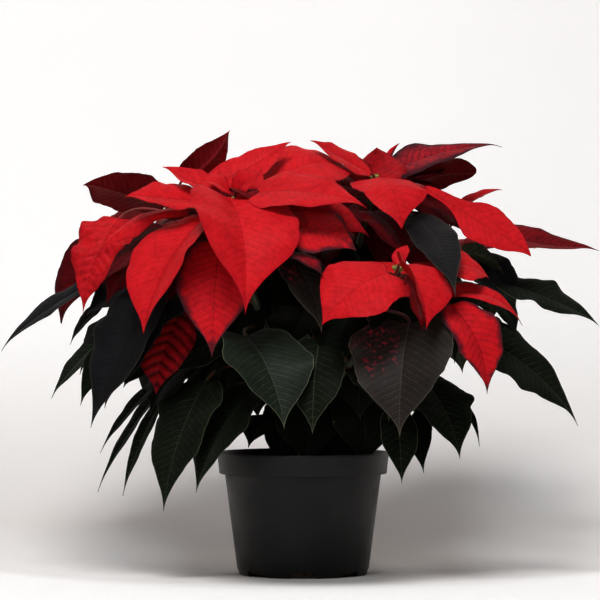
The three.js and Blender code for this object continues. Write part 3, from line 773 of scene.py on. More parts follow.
# how wide one half of the blade is at a place along it, as a share of its widest
def outline(along, look, half):
    widest, fullness = look["widest"], look["fullness"]
    along = min(max(along, 1e-4), 1 - 1e-4)
    rise = (along / widest) ** (fullness * widest)
    width = rise * ((1 - along) / (1 - widest)) ** (fullness * (1 - widest))
    tipward = max(0, (along - look["tipFrom"]) / (1 - look["tipFrom"]))
    width = width * (1 - look["tipDraw"] * tipward ** 2)
    for place, side, height, reach in look["lobes"]:
        if side == half:
            width = width + height * smooth(1 - abs(along - place) / reach)
    return width


# the line of a leaf: its midrib, its side direction and the petiole that leads to it
def leafLine(row, look):
    shoot, place, baseAt, tipAt, bow, roll = row[1], row[2], row[3], row[4], row[6], row[7]
    base = np.array(baseAt, float)
    reach = np.array(tipAt, float) - base
    length = np.linalg.norm(reach)
    chord = reach / length
    level = unit(np.array([chord[0], chord[1], 0.0]))
    side = turned(np.cross([0, 0, 1], level), chord, roll)
    up = np.cross(chord, side)
    hookFrom = bladeMake["hookFrom"]

    def midrib(along):
        arch = 4 * along * (1 - along)
        droop = max(0.0, (along - hookFrom) / (1 - hookFrom)) ** 2 * look["hook"] * length / 100
        bent = up * bow * arch + side * look["sweep"] * arch
        return base + chord * length * along + bent - np.array([0, 0, droop])

    points = shoots[shoot]["points"]
    root = stemPoint(points, place)
    stalk = np.linalg.norm(base - root)
    start = unit(unit(base - root) + stemDirection(points, place) * bladeMake["petioleLean"])
    leave = root + start * stalk / 3
    arrive = base - unit(midrib(0.02) - base) * stalk / 3

    def petiole(along):
        left = 1 - along
        ends = left ** 3 * root + along ** 3 * base
        return ends + 3 * left ** 2 * along * leave + 3 * left * along ** 2 * arrive

    return midrib, petiole, side, length, stalk


# one leaf as a closed skin of rings: the petiole's are round, the blade's follow its section
def makeLeaf(row, style, look, number, inner):
    name, width, fold = row[0], row[5], row[8]
    make = bladeMake
    look = {**leafDefaults, **look}
    if len(row) > 9:
        look["widest"] = row[9]
    draw = np.random.default_rng(seeds["leaves"] + number)
    phases = draw.uniform(0, 2 * math.pi, 6)
    midrib, petiole, side, length, stalk = leafLine(row, look)
    columns = make["innerColumns" if inner else "columns"]
    ringStep = make["innerRingStep" if inner else "ringStep"]
    radius = make["petioleRadius"] * (make["petioleThinnest"] + width / make["petioleWide"])

    # once round a ring: over the top from one margin to the other, and back underneath
    steps = np.concatenate([np.linspace(1, -1, columns + 1), np.linspace(-1, 1, columns + 1)[1:-1]])
    across = np.sign(steps) * np.abs(steps) ** make["columnCrowding"]
    outward = np.abs(across)
    leftSide = across > 0
    order = np.arange(len(across))
    onTop = order <= columns
    roundX, roundZ = np.cos(order * math.pi / columns), np.sin(order * math.pi / columns)
    folds = [math.radians(fold * make["foldGain"] + more) for more in look["foldMore"]]
    fullFold = np.where(leftSide, *folds)

    def halfWidth(along):
        halves = []
        thread = make["tipThread"] * math.sqrt(max(make["threadLeast"], 1 - along))
        for phase, half in zip(phases, (1, -1)):
            notches = enumerate(make["notches"], 1)
            uneven = sum(share * math.sin(turns * along + k * phase) for k, (turns, share) in notches)
            wide = outline(along, look, half) * width / 2 * (1 + look["ragged"] * uneven)
            halves.append(max(wide, thread))
        return np.where(leftSide, *halves)

    def veinRank(along, distance):
        lean = distance / length
        behind = lean * make["veinSlope"] + lean * lean * make["veinCurve"]
        return (along - behind) * length / look["veinStep"]

    # the blade's section: its points across and above the midrib, and how far the lobes reach back
    def section(along):
        half = halfWidth(along)
        distance = outward * half
        crease = np.sqrt(outward ** 2 + make["foldSoftness"]) - math.sqrt(make["foldSoftness"])
        z = crease * half * np.sin(fullFold) - look["curl"] * half * outward ** make["curlPower"]
        ripple = np.where(leftSide, *np.sin(make["waveTurn"] * look["waves"] * along + phases[2:4]))
        flutter = np.where(leftSide, *np.sin(np.array(make["flutterTurns"]) * along + phases[4:6]))
        wave = (ripple + make["flutterShare"] * flutter * outward) * (1 - along * make["waveFade"])
        z = z + look["wave"] * half * outward ** 2 * wave
        # the blade puffs up between its side veins, less towards its margin and both ends
        puff = np.abs(np.sin(math.pi * veinRank(along, distance))) ** make["puffPower"]
        fromRib, fromFoot, fromTip = make["puffStart"]
        fade = np.minimum(1, outward * fromRib) * (1 - outward ** make["marginPower"])
        fade = fade * min(1, along * fromFoot) * min(1, (1 - along) * fromTip)
        z = z + look["quilt"] * (puff - 0.5) * fade * min(make["puffMost"], width / make["puffWidth"])
        rib = np.exp(-(distance / make["ribWidth"]) ** 2)
        z = z - make["groove"] * rib * (1 - along)
        thick = make["thickness"] * (1 - outward ** make["marginPower"] * make["marginThinner"])
        thick = thick + make["ribHeight"] * rib * (1 - along) ** make["ribFade"]
        back = length * outward ** make["cordatePower"] * max(0.0, 1 - along * make["cordateEnd"]) ** 2
        return across * half * np.cos(fullFold), z - np.where(onTop, 0, thick), -look["cordate"] * back, half

    rings, marks = [], []

    def addRing(centre, direction, x, z, back, along, half):
        flat = unit(side - direction * np.dot(side, direction))
        above = np.cross(direction, flat)
        rings.append(centre + np.outer(x, flat) + np.outer(z, above) + np.outer(back, direction))
        distance = outward * half
        rank = veinRank(along, distance)
        marks.append([np.full(len(across), along), across, distance, half - distance, rank])

    nothing = 0 * across
    for along in np.arange(make["petioleRings"]) / make["petioleRings"]:
        thick = radius * (1 + make["petioleFoot"] * math.exp(-(along * stalk / make["footReach"]) ** 2))
        direction = heading(petiole, along, 0.01)
        addRing(petiole(along), direction, thick * roundX, thick * roundZ, nothing, 0, nothing)
    for along in np.linspace(0, 1, int(length / ringStep)) ** make["ringCrowding"]:
        x, z, back, half = section(along)
        flesh = smooth(along / make["petioleEnd"])
        core = radius * (1 - make["coreTaper"] * along) * (1 - flesh)
        x, z = x * flesh + core * roundX, z * flesh + core * roundZ
        addRing(midrib(along), heading(midrib, along, 0.008), x, z, back * flesh, along, half)

    leaf = addPiece(name, np.vstack(rings), ringFaces(len(rings), len(across)))
    labels = ("veinAlong", "veinAcross", "ribDistance", "edgeDistance", "veinRank")
    for label, values in zip(labels, np.concatenate(marks, axis=1)):
        leaf.data.attributes.new(label, "FLOAT", "POINT").data.foreach_set("value", values.astype(np.float32))
    finishLeaf(leaf.data, style, columns)
    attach(leaf, "root")
    return leaf


# the top, the underside and the stalk take their own materials, and the blade's margin stays crisp
def finishLeaf(mesh, style, columns):
    size = 2 * columns
    stalkRings = bladeMake["petioleRings"]
    for material in leafMaterials[style]:
        mesh.materials.append(material)
    quads = np.arange(len(mesh.polygons) - 2)
    kind = np.where(quads // size < stalkRings, 2, np.where(quads % size < columns, 0, 1))
    mesh.polygons.foreach_set("material_index", np.concatenate([kind, [2, 0]]).astype(np.int32))
    ends = np.empty(len(mesh.edges) * 2, np.int32)
    mesh.edges.foreach_get("vertices", ends)
    ends = ends.reshape(-1, 2)
    spot = ends % size
    onMargin = (spot[:, 0] == spot[:, 1]) & np.isin(spot[:, 0], (0, columns))
    onMargin = onMargin & (ends.min(1) // size > stalkRings + 3)
    mesh.attributes.new("sharp_edge", "BOOLEAN", "EDGE").data.foreach_set("value", onMargin)
    mesh.update()


# leaves that aren't in the usual style of their list
ownStyles = {
    "creaseShadedBract": ["bract_a_left_far"],
    "dimShadedBract": ["bract_a_right_under", "bract_b_crown_front", "bract_b_crown_left", "bract_c_shade",
                  "bract_d_left", "bract_d_up"],
    "edgeAndShadeBract": ["bract_a_front_low", "bract_a_lower_right", "bract_c_right_low"],
    "quiltShadedBract": ["bract_a_dark"],
    "darkShadedBract": ["bract_a_crown_front", "bract_a_left_shade", "bract_b_back_right", "bract_b_left_shade",
                  "bract_b_right_back", "bract_e_right"],
    "shadedBract": ["bract_a_front_behind", "bract_a_left_behind", "bract_a_left_fill", "bract_a_left_under",
                    "bract_a_low_right", "bract_b_low", "bract_b_low_back", "bract_b_low_left",
                    "bract_b_low_right", "bract_b_shade", "bract_b_under", "bract_d_left_low"],
    "duskyBract": ["bract_a_mottled", "bract_b_right_high"],
    "dark": ["leaf_left_dark", "leaf_left_dark_behind", "leaf_left_far", "leaf_left_tuft", "leaf_left_under",
             "leaf_right_behind", "turning_leaf_b"],
    "litGreen": ["leaf_front_left"],
    "green": ["leaf_left_cross", "leaf_left_high", "leaf_low_thin_a", "leaf_low_thin_b", "leaf_low_thin_c",
              "leaf_right_mid"],
}
# what sets the shape of single leaves apart. A lobe is its place along the blade, its half, its height as a
# share of half the width, below 0 for a notch, and its reach along the blade
leafLooks = {
    "bract_a_dark": {"quilt": 1.6, "veinStep": 9.5},
    "bract_a_front": {"curl": 0.16, "foldMore": (0, 8), "ragged": 0.010, "lobes": [[0.56, 1, 0.10, 0.26]]},
    "bract_a_front_left": {"foldMore": (4, 0), "ragged": 0.012},
    "bract_a_front_low": {"curl": 0.10},
    "bract_a_left_far": {"quilt": 2.6, "veinStep": 8.0, "wave": 0.20, "waves": 3.4, "ragged": 0.03},
    "bract_a_left_low": {"lobes": [[0.32, 1, -0.60, 0.36]]},
    "bract_b_crown_front": {"ragged": 0.03},
    "bract_b_front": {"cordate": 0.34, "curl": 0.10, "fullness": 0.8,
                      "lobes": [[0.20, 1, 0.16, 0.30], [0.55, 1, 0.16, 0.30], [0.55, -1, -0.12, 0.30]]},
    "bract_b_right": {"lobes": [[0.30, 1, -0.20, 0.25], [0.26, -1, -0.35, 0.25], [0.52, -1, 0.14, 0.16]]},
    "bract_b_right_back": {"tipDraw": 0.1, "hook": 0, "fullness": 0.8},
    "bract_b_right_high": {"wave": 0.05, "tipDraw": 0.93, "tipFrom": 0.40,
                           "lobes": [[0.22, 1, 0.25, 0.22], [0.60, 1, -0.15, 0.25]]},
    "bract_c_front": {"foldMore": (0, 16)},
    "bract_c_left": {"cordate": 0.20, "curl": 0.12, "lobes": [[0.12, 1, 0.22, 0.20]]},
    "bract_d_left": {"lobes": [[0.22, 1, 0.28, 0.25], [0.75, -1, 0.25, 0.2]]},
    "bract_d_left_low": {"lobes": [[0.82, -1, 0.32, 0.24]]},
    "turning_leaf_b": {"sweep": 5},
    "turning_leaf_c": {"cordate": 0.10, "curl": 0.05,
                       "lobes": [[0.30, 1, 0.06, 0.14], [0.26, -1, 0.06, 0.12]]},
    "leaf_front_left": {"cordate": 0.10, "curl": 0.05,
                        "lobes": [[0.40, 1, 0.08, 0.14], [0.40, -1, 0.08, 0.14]]},
    "leaf_left_dark": {"lobes": [[0.45, -1, 0.22, 0.12]]},
    "leaf_left_low": {"wave": 0.08},
    "leaf_left_lowest": {"lobes": [[0.17, -1, 0.34, 0.22], [0.15, 1, 0.20, 0.20]]},
    "leaf_right_big": {"wave": 0.10,
                       "lobes": [[0.38, 1, 0.10, 0.10], [0.55, -1, 0.20, 0.12], [0.60, 1, 0.08, 0.10]]},
    "leaf_right_high": {"wave": 0.12, "lobes": [[0.5, 1, 0.2, 0.12], [0.5, -1, 0.1, 0.12]]},
    "leaf_right_low": {"lobes": [[0.42, 1, 0.14, 0.10], [0.34, -1, 0.14, 0.10]]},
}


def makeLeaves():
    groups = [
        (bracts, "brightBract", False), (turningLeaves, "turning", False), (greenLeaves, "green", False),
        (innerBracts, "brightBract", True), (innerLeaves, "shadedGreen", True),
    ]
    styleOf = {name: style for style, names in ownStyles.items() for name in names}
    number = 0
    for rows, usual, inner in groups:
        for row in rows:
            style = styleOf.get(row[0], usual)
            leaf = makeLeaf(row, style, leafLooks.get(row[0], {}), number, inner)
            if not inner:
                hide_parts(row[0])
            number += 1
    print("leaves and bracts made:", number)


makeLeaves()

# stems: bark tubes that swell where each leaf leaves them
stemMake = {
    "sides": 20,
    "rings": 90,
    "nodeSwell": 0.55,
    "nodeReach": 2.2,
    "trunkNodes": [0.55, 0.72, 0.88],
    "ridge": 0.10,
    "ridges": [(3, 9, 1), (5, -14, 0.6)],  # count round the stem, turn along it, and share
}
barkWood = grainMaterial("barkWood", (0.085, 0.070, 0.034), (0.032, 0.026, 0.014), (140.0, 900.0),
                         (0.6, 0.8), relief=0.5, depth=0.5, specular=0.3)
barkGreen = grainMaterial("barkGreen", (0.034, 0.044, 0.015), (0.016, 0.019, 0.008), (110.0, 1100.0),
                          (0.45, 0.6), relief=0.3, depth=0.4, specular=0.4)


def makeTube(name, points, radii, nodes, number):
    draw = np.random.default_rng(seeds["stems"] + number)
    phases = draw.uniform(0, 6, 2)
    angles = np.linspace(0, 2 * math.pi, stemMake["sides"], endpoint=False)
    length = np.linalg.norm(np.diff(np.array(points, float), axis=0), axis=1).sum()
    rings = []
    for along in np.linspace(0, 1, stemMake["rings"]):
        direction = stemDirection(points, along)
        side = unit(np.cross([0, 1, 0], direction))
        up = np.cross(direction, side)
        swell = sum(math.exp(-((along - node) * length / stemMake["nodeReach"]) ** 2) for node in nodes)
        radius = radii[0] + (radii[1] - radii[0]) * along + min(1.0, swell) * stemMake["nodeSwell"]
        for phase, (count, turn, share) in zip(phases, stemMake["ridges"]):
            radius = radius + stemMake["ridge"] * share * np.sin(angles * count + phase + along * turn)
        around = np.outer(radius * np.cos(angles), side) + np.outer(radius * np.sin(angles), up)
        rings.append(stemPoint(points, along) + around)
    return addPiece(name, np.vstack(rings), ringFaces(len(rings), stemMake["sides"]))


def makeStems():
    everyLeaf = bracts + turningLeaves + greenLeaves + innerBracts + innerLeaves
    trunk = makeTube("main_stem_bark", mainStem["points"], mainStem["radii"], stemMake["trunkNodes"], 0)
    trunk.data.materials.append(barkWood)
    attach(trunk, "root")
    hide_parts("main_stem")
    for number, (key, shoot) in enumerate(shoots.items(), 1):
        nodes = sorted(row[2] for row in everyLeaf if row[1] == key)
        tube = makeTube("shoot_" + key + "_bark", shoot["points"], shoot["radii"], nodes, number)
        tube.data.materials.append(barkGreen)
        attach(tube, "root")
        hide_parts("shoot_" + key)
    print("stems made:", 1 + len(shoots))


makeStems()

# cyathia: green cups with yellow glands and a few red stamens on each shoot's tip
cyathiaMake = {
    "cups": 5,
    "cupRadius": 2.4,
    "cupHeight": 3.6,
    "cupRim": 0.95,  # of that height, where the gland and the stamens start
    "cupSides": 14,
    "ringRadius": 3.1,
    "ringSway": 0.2,
    "ringHeights": (0.2, 1.4),
    "middleHeight": 1.4,
    "lift": 1.2,
    "lean": 0.14,
    "glandRadius": 0.95,
    "glandOut": 0.75,  # of the cup's radius
    "glandSunk": 0.5,
    "glandLean": 0.6,
    "glandSides": 10,
    "stamens": 5,
    "stamenReach": (1.0, 1.9),
    "stamenLean": 0.35,
    "stamenSides": 6,
}
cupGreen = grainMaterial("cupGreen", (0.24, 0.33, 0.07), (0.10, 0.17, 0.03), (240.0, 1600.0),
                         (0.4, 0.55), relief=0.2, depth=0.2)
glandYellow = grainMaterial("glandYellow", (0.75, 0.50, 0.04), (0.50, 0.28, 0.02), (500.0, 2000.0),
                            (0.25, 0.35), relief=0.1, depth=0.1, coat=0.3)
stamenRed = grainMaterial("stamenRed", (0.55, 0.02, 0.015), (0.35, 0.01, 0.01), (500.0, 2000.0),
                          (0.45, 0.6), relief=0.1, depth=0.1)


def addLathe(store, profile, place, tilt, material, sides):
    turn = Vector((0, 0, 1)).rotation_difference(Vector(tilt)).to_matrix()
    faces = ringFaces(len(profile), sides, len(store["points"]))
    for radius, height in profile:
        store["points"] += [turn @ Vector(point) + Vector(place) for point in circle(radius, height, sides)]
    store["faces"] += faces
    store["materials"] += [material] * len(faces)


def cupProfile(radius, height):
    rim = cyathiaMake["cupRim"] * height
    foot = [(0.3 * radius, -1.6), (0.55 * radius, 0)]
    wall = [(0.9 * radius, 0.35 * height), (radius, 0.65 * height), (0.86 * radius, rim)]
    return foot + wall + [(0.55 * radius, 1.12 * height), (0.2 * radius, 1.1 * height)]


def glandProfile(radius):
    foot = [(0.2 * radius, -0.4), (0.8 * radius, -0.25)]
    return foot + [(radius, 0.1), (0.75 * radius, 0.4), (0.3 * radius, 0.2)]


def stamenProfile(reach):
    return [(0.16, 0), (0.14, reach), (0.34, reach + 0.1), (0.3, reach + 0.5), (0.05, reach + 0.7)]


def makeCyathia(key, shoot, number):
    make = cyathiaMake
    draw = np.random.default_rng(seeds["cyathia"] + number)
    tip = np.array(shoot["points"][-1], float)
    store = {"points": [], "faces": [], "materials": []}
    seats = [(0, 0, make["middleHeight"])]
    for i in range(make["cups"]):
        angle = 2 * math.pi * i / make["cups"] + draw.uniform(-make["ringSway"], make["ringSway"])
        x, y = make["ringRadius"] * math.cos(angle), make["ringRadius"] * math.sin(angle)
        seats.append((x, y, draw.uniform(*make["ringHeights"])))
    for x, y, z in seats:
        place = tip + np.array([x, y, z + make["lift"]])
        tilt = unit(np.array([x * make["lean"], y * make["lean"], 1.0]))
        addLathe(store, cupProfile(make["cupRadius"], make["cupHeight"]), place, tilt, 0, make["cupSides"])
        top = place + tilt * make["cupHeight"] * make["cupRim"]
        out = unit(np.array([x, y, 0.01]) if x or y else draw.normal(size=3))
        lip = top + out * make["cupRadius"] * make["glandOut"] - tilt * make["glandSunk"]
        lean = unit(tilt + out * make["glandLean"])
        addLathe(store, glandProfile(make["glandRadius"]), lip, lean, 1, make["glandSides"])
        for _ in range(make["stamens"]):
            lean = unit(tilt + draw.normal(size=3) * make["stamenLean"])
            reach = draw.uniform(*make["stamenReach"])
            addLathe(store, stamenProfile(reach), top, lean, 2, make["stamenSides"])
    piece = addPiece("cyathia_" + key + "_cups", store["points"], store["faces"])
    for material in (cupGreen, glandYellow, stamenRed):
        piece.data.materials.append(material)
    piece.data.polygons.foreach_set("material_index", np.array(store["materials"], np.int32))
    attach(piece, "root")
    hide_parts("cyathia_" + key)


for number, (key, shoot) in enumerate(shoots.items()):
    makeCyathia(key, shoot, number)
print("cyathia made:", len(shoots))

# pot: thin plastic wall with a deep band under the rim and drain slots round the bottom corner
potMake = {
    "height": 108,
    "baseRadius": 57.5,
    "wallTopRadius": 69,
    "bandHeight": 19,
    "bandBottomRadius": 74,
    "rimRadius": 76,
    "wall": 1.4,
    "floor": 2.4,
    "middle": 6,
    "floorRing": 30,
    "corner": 2.5,
    "lip": 0.7,
    "sides": 192,
    "crisp": 35,  # degrees between faces from which an edge stays sharp
    "shade": (0.1, 1.7),  # painted shade and light: the plastic is made darker low down and paler towards the rim
}
drainMake = {"count": 8, "width": 22, "depth": 14, "height": 5, "corner": 1.6}
potPlastic = grainMaterial("potPlastic", (0.0085, 0.0085, 0.0087), (0.0058, 0.0058, 0.0060), (26.0, 2600.0),
                           (0.34, 0.46), relief=0.10, depth=0.12, specular=0.19)


# painted shade and light: the pot's colour darkens towards its bottom and brightens towards its rim
def shadeByHeight(material):
    tree = material.node_tree
    shader = tree.nodes["Principled BSDF"]
    plain = shader.inputs["Base Color"].links[0].from_socket
    share = softStep(tree, splitPlace(tree)["Z"], 0.0, potMake["height"] * mm, *potMake["shade"])
    tree.links.new(mixColor(tree, share, (0, 0, 0, 1), plain), shader.inputs["Base Color"])


def arc(centreX, centreZ, radius, start, end, steps=5):
    angles = [math.radians(angle) for angle in np.linspace(start, end, steps)]
    return [(centreX + radius * math.cos(angle), centreZ + radius * math.sin(angle)) for angle in angles]


def wallRadius(height):
    widening = potMake["wallTopRadius"] - potMake["baseRadius"]
    return potMake["baseRadius"] + widening * height / (potMake["height"] - potMake["bandHeight"])


# from the middle of the underside up the outside, over the rim and down the inside to the floor
def potProfile():
    base, wallTop, rim = potMake["baseRadius"], potMake["wallTopRadius"], potMake["rimRadius"]
    height, wall, floor = potMake["height"], potMake["wall"], potMake["floor"]
    band, bandBottom = potMake["bandBottomRadius"], height - potMake["bandHeight"]
    corner, lip, middle, floorRing = (potMake[key] for key in ("corner", "lip", "middle", "floorRing"))
    outside = [(middle, 0), (floorRing, 0), (base - corner - 1, 0)]
    outside += arc(base - corner, corner, corner, -90, -8)
    outside += [(wallRadius(z), z) for z in np.linspace(6, bandBottom - 1.2, 9)]
    outside += arc(wallTop + 1, bandBottom - 1, 1, 180, 90, 4)
    outside += arc(band - lip, bandBottom + lip, lip, -90, 0, 4)
    outside += [(band + 0.9, bandBottom + 9), (rim - 0.35, height - 3.4)]
    outside += arc(rim - lip, height - lip, lip, 0, 180, 8)
    inside = [(rim - wall - 0.4, height - 3), (band - wall, bandBottom + wall + 1)]
    inside += arc(band - wall - 1, bandBottom + wall + 1, 1, 0, -90, 4)
    inside += [(wallTop - wall, bandBottom + wall - 0.3)]
    inside += [(wallRadius(z) - wall, z) for z in np.linspace(bandBottom - 2, floor + 2, 8)]
    inside += [(base - wall - 2, floor), (floorRing, floor), (middle, floor)]
    return outside + inside


# rounded blocks in one mesh, to cut the drain slots with
def drainCutter():
    width, height, corner = drainMake["width"], drainMake["height"], drainMake["corner"]
    slot = []
    for sideX, sideZ, start in ((1, 1, 0), (-1, 1, 90), (-1, -1, 180), (1, -1, 270)):
        slot += arc(sideX * (width / 2 - corner), sideZ * (height - corner), corner, start, start + 90, 4)
    points, faces = [], []
    for i in range(drainMake["count"]):
        angle = -math.pi / 2 + 2 * math.pi * i / drainMake["count"]
        out = np.array([math.cos(angle), math.sin(angle), 0])
        side = np.array([-math.sin(angle), math.cos(angle), 0])
        faces += ringFaces(2, len(slot), len(points))
        for end in (-1, 1):
            reach = potMake["baseRadius"] + end * drainMake["depth"] / 2
            points += [out * reach + side * x + np.array([0, 0, z]) for x, z in slot]
    return addPiece("drainCutter", points, faces)


def makePot():
    profile = potProfile()
    points = [point for radius, height in profile for point in circle(radius, height, potMake["sides"])]
    pot = addPiece("pot_shell", points, ringFaces(len(profile), potMake["sides"]))
    cutter = drainCutter()
    cut = pot.modifiers.new("drain slots", "BOOLEAN")
    cut.object = cutter
    cut.operation = "DIFFERENCE"
    cut.solver = "EXACT"
    graph = bpy.context.evaluated_depsgraph_get()
    solid = bpy.data.meshes.new_from_object(pot.evaluated_get(graph))
    pot.modifiers.clear()
    pot.data = solid
    bpy.data.objects.remove(cutter)
    solid.polygons.foreach_set("use_smooth", np.full(len(solid.polygons), True))
    solid.set_sharp_from_angle(angle=math.radians(potMake["crisp"]))
    solid.materials.clear()
    solid.materials.append(potPlastic)
    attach(pot, "root")
    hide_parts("pot")
    print("pot made:", len(solid.polygons), "faces")


shadeByHeight(potPlastic)
makePot()

# soil: a crumbly dome just under the rim, with loose crumbs of peat and bark on it
soilMake = {
    "top": 85.6,
    "dome": 2.1,
    "domeRadius": 66,
    "lump": 1.1,
    "lumpScale": 0.16,
    "lumpFractal": (0.8, 2.1, 4),
    "calmFrom": 0.97,  # beyond this share of the dome's radius the lumps are lower
    "calmShare": 0.3,
    "gap": 2.1,  # from the pot's outer surface
    "levels": (2.8, 30, 60, 83, 84),  # heights of its floor, of its side rings, and of the edge of its top
    "rings": 44,
    "sides": 120,
}
crumbMake = {
    "count": 620,
    "size": (0.5, 1.7),
    "spread": (0.02, 0.93),  # shares of the soil's area, from its middle outwards
    "stretch": (0.5, 1.3),
    "uneven": (0.8, 1.15),
    "raised": 0.2,
}
soilPeat = grainMaterial("soilPeat", (0.030, 0.018, 0.010), (0.009, 0.006, 0.004), (210.0, 900.0),
                         (0.85, 0.98), relief=0.9, depth=1.2, specular=0.2)


def soilRadius(height):
    return wallRadius(height) - soilMake["gap"]


def soilHeight(x, y):
    outward = math.hypot(x, y) / soilMake["domeRadius"]
    dome = soilMake["dome"] * max(0.0, 1 - outward ** 2)
    place = Vector((x, y, 3)) * soilMake["lumpScale"]
    lump = noise.fractal(place, *soilMake["lumpFractal"]) * soilMake["lump"]
    return soilMake["top"] + dome + lump * (1 if outward < soilMake["calmFrom"] else soilMake["calmShare"])


def makeSoil():
    sides = soilMake["sides"]
    floor, *walls, edge = soilMake["levels"]
    levels = [(soilRadius(floor) * 0.2, floor)] + [(soilRadius(height), height) for height in (floor, *walls)]
    points = [point for radius, height in levels for point in circle(radius, height, sides)]
    for ring in range(soilMake["rings"]):
        radius = soilRadius(edge) * (1 - ring / soilMake["rings"])
        points += [(x, y, soilHeight(x, y)) for x, y, _ in circle(radius, 0, sides)]
    ball = addPiece("soil_ball", points, ringFaces(len(levels) + soilMake["rings"], sides))
    ball.data.materials.append(soilPeat)
    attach(ball, "root")
    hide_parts("potting_soil")
    makeCrumbs(soilRadius(edge))


# a crumb starts as a twenty-sided ball, which the 1.9 gives a radius of 1, with its faces turned outwards
def crumbShape():
    golden = (1 + 5 ** 0.5) / 2
    signs = [(a, b) for a in (-1, 1) for b in (-1, 1)]
    corners = np.array([np.roll((a, b * golden, 0), axis) for axis in range(3) for a, b in signs]) / 1.9
    edge = np.linalg.norm(corners[0] - corners[2]) * 1.05
    faces = []
    for face in combinations(range(len(corners)), 3):
        first, second, third = corners[list(face)]
        sides = (second - first, third - second, first - third)
        if max(np.linalg.norm(side) for side in sides) < edge:
            outwards = np.dot(np.cross(sides[0], sides[1]), first) > 0
            faces.append(face if outwards else (face[0], face[2], face[1]))
    return corners, faces


def makeCrumbs(reach):
    draw = np.random.default_rng(seeds["crumbs"])
    corners, shape = crumbShape()
    points, faces = [], []
    for _ in range(crumbMake["count"]):
        radius = reach * math.sqrt(draw.uniform(*crumbMake["spread"]))
        angle = draw.uniform(0, 2 * math.pi)
        x, y = radius * math.cos(angle), radius * math.sin(angle)
        size = draw.uniform(*crumbMake["size"])
        stretch = draw.uniform(*crumbMake["stretch"], 3)
        spin = Matrix.Rotation(draw.uniform(0, 6.3), 3, Vector(draw.normal(size=3)))
        middle = Vector((x, y, soilHeight(x, y) + size * crumbMake["raised"]))
        faces += [[len(points) + corner for corner in face] for face in shape]
        for corner in corners * draw.uniform(*crumbMake["uneven"], (len(corners), 1)):
            points.append(middle + spin @ Vector(corner * stretch * size))
    crumbs = addPiece("soil_crumbs", points, faces, smoothFaces=False)
    crumbs.data.materials.append(soilPeat)
    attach(crumbs, "root")


makeSoil()
print("soil made:", crumbMake["count"], "crumbs")

# stage: a sheet of white paper that sweeps up behind the plant, and studio light from above
stageMake = {
    "width": 9000,
    "front": -1600,
    "bendStart": 40,
    "bendRadius": 550,
    "bendSteps": 40,
    "top": 3200,
    "paper": (0.885, 0.845, 0.818, 1),
    "roughness": 0.8,
    "specular": 0.1,
    "ambient": 0.03,
    "seenWhite": 0.95,
}
# where the seen paper is brighter than the lamps alone make it, in metres, and by how much
paperGlow = {
    "color": (0.95, 1.0, 1.04, 1),
    "behind": (-0.02, 0.26),  # heights between which it brightens up the wall
    "behindShare": 0.35,
    "rightward": (0.05, 0.35),  # and how that fades to the right
    "rightShare": 0.86,
    "beside": (0.10, 0.20),  # distances out from the pot, left and right
    "besideMiddle": 0.02,
    "besideDepth": (0.26, 0.12),
    "besideShare": 0.15,
    "aslant": (0.13, 0.24),  # distances to the right on the bend, and the heights it lies between
    "aslantLow": (0.005, 0.045),
    "aslantHigh": (0.115, 0.065),
    "aslantShare": 0.12,
    "ahead": (-0.07, -0.20),  # depths in front of the pot, along a line that bends back at the sides
    "aheadBend": -2.4,
    "aheadShare": 0.33,
}
# and where the pot's own shadow gathers round its foot, in metres
footShade = {"place": (0.015, -0.04, 0), "reach": (0.045, 0.12), "share": 0.35}
lights = {
    "key": {"place": (-230, -1250, 2050), "aim": (0, 0, 230), "size": 1000, "power": 36},
    "front": {"place": (-500, -2600, 700), "aim": (0, 0, 220), "size": 1400, "power": 9},
    "fill": {"place": (1500, -2200, 500), "aim": (0, 0, 220), "size": 1600, "power": 2},
}


# the glow's mask: up the wall, at both sides, in front, and aslant on the right of the bend
def glowMask(tree):
    x, y, z = splitPlace(tree)
    look = paperGlow
    fade = softStep(tree, x, *look["rightward"], 1.0, look["rightShare"])
    behind = multiply(tree, softStep(tree, z, *look["behind"], 0.0, look["behindShare"]), fade)
    outward = mathNode(tree, "ABSOLUTE", mathNode(tree, "SUBTRACT", x, look["besideMiddle"]))
    near = softStep(tree, y, *look["besideDepth"], 0.0, look["besideShare"])
    beside = multiply(tree, softStep(tree, outward, *look["beside"]), near)
    bent = multiplyAdd(tree, multiply(tree, x, x), look["aheadBend"], y)
    ahead = softStep(tree, bent, *look["ahead"], 0.0, look["aheadShare"])
    onBend = multiply(tree, softStep(tree, z, *look["aslantLow"]), softStep(tree, z, *look["aslantHigh"]))
    aslant = multiply(tree, softStep(tree, x, *look["aslant"], 0.0, look["aslantShare"]), onBend)
    glow = mathNode(tree, "MAXIMUM", mathNode(tree, "MAXIMUM", behind, beside), ahead)
    return mathNode(tree, "ADD", glow, aslant)


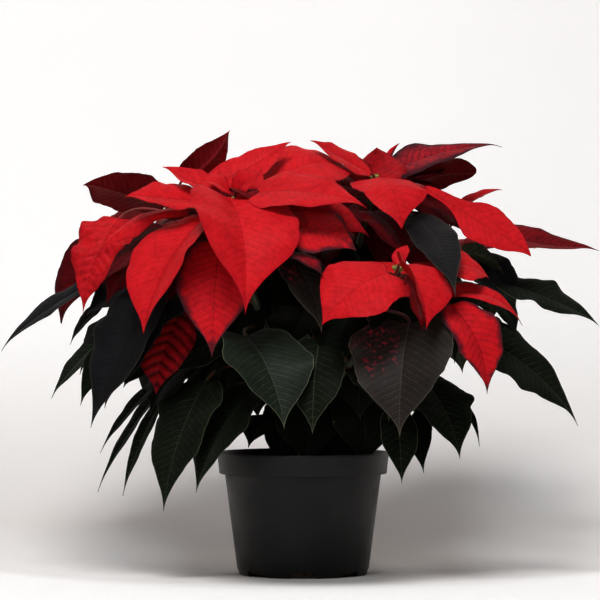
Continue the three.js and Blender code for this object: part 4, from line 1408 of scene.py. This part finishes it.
def makePaper():
    material = bpy.data.materials.new("sweepPaper")
    material.use_nodes = True
    tree = material.node_tree
    shader = tree.nodes["Principled BSDF"]
    foot = tree.nodes.new("ShaderNodeVectorMath")
    foot.operation = "DISTANCE"
    foot.inputs[1].default_value = footShade["place"]
    tree.links.new(objectPlace(tree), foot.inputs[0])
    clearOfPot = softStep(tree, foot.outputs["Value"], *footShade["reach"], footShade["share"], 1.0)
    tree.links.new(mixColor(tree, clearOfPot, (0, 0, 0, 1), stageMake["paper"]), shader.inputs["Base Color"])
    seen = tree.nodes.new("ShaderNodeLightPath")  # the glow only brightens the paper as it is seen
    glow = multiply(tree, glowMask(tree), seen.outputs["Is Camera Ray"])
    tree.links.new(mixColor(tree, glow, (0, 0, 0, 1), paperGlow["color"]), shader.inputs["Emission Color"])
    shader.inputs["Emission Strength"].default_value = 1.0
    shader.inputs["Roughness"].default_value = stageMake["roughness"]
    shader.inputs["Specular IOR Level"].default_value = stageMake["specular"]
    clear = tree.nodes.new("ShaderNodeBsdfTransparent")  # from behind, the paper is out of the way
    oneSided = tree.nodes.new("ShaderNodeMixShader")
    tree.links.new(tree.nodes.new("ShaderNodeNewGeometry").outputs["Backfacing"], oneSided.inputs[0])
    tree.links.new(shader.outputs[0], oneSided.inputs[1])
    tree.links.new(clear.outputs[0], oneSided.inputs[2])
    tree.links.new(oneSided.outputs[0], tree.nodes["Material Output"].inputs["Surface"])
    return material


def makeSweep():
    start, radius, half = stageMake["bendStart"], stageMake["bendRadius"], stageMake["width"] / 2
    bend = np.linspace(0, math.pi / 2, stageMake["bendSteps"])
    depths = [stageMake["front"], *(start + radius * np.sin(bend)), start + radius]
    heights = [0, *(radius * (1 - np.cos(bend))), stageMake["top"]]
    points = [(x, y, z) for y, z in zip(depths, heights) for x in (-half, half)]
    faces = [[2 * i, 2 * i + 1, 2 * i + 3, 2 * i + 2] for i in range(len(depths) - 1)]
    sweep = addPiece("paper_sweep", points, faces)
    sweep.data.materials.append(makePaper())


def makeLights():
    world = bpy.data.worlds.new("studio")
    bpy.context.scene.world = world
    world.use_nodes = True
    background = world.node_tree.nodes["Background"]
    background.inputs["Color"].default_value = (1, 1, 1, 1)
    seen = world.node_tree.nodes.new("ShaderNodeLightPath")  # dim as light, white where it is seen
    brightness = (stageMake["ambient"], stageMake["seenWhite"])
    strength = softStep(world.node_tree, seen.outputs["Is Camera Ray"], 0, 1, *brightness)
    world.node_tree.links.new(strength, background.inputs["Strength"])
    for name, light in lights.items():
        data = bpy.data.lights.new(name, "AREA")
        data.shape = "DISK"
        data.size = light["size"] * mm
        data.energy = light["power"]
        lamp = bpy.data.objects.new(name, data)
        lamp.location = Vector(light["place"]) * mm
        aim = Vector(light["aim"]) * mm - lamp.location
        lamp.rotation_euler = aim.to_track_quat("-Z", "Y").to_euler()
        bpy.context.scene.collection.objects.link(lamp)
    view = bpy.context.scene.view_settings
    view.view_transform = "Standard"
    view.look = "None"


makeSweep()
makeLights()
print("stage made:", len(lights), "lamps")
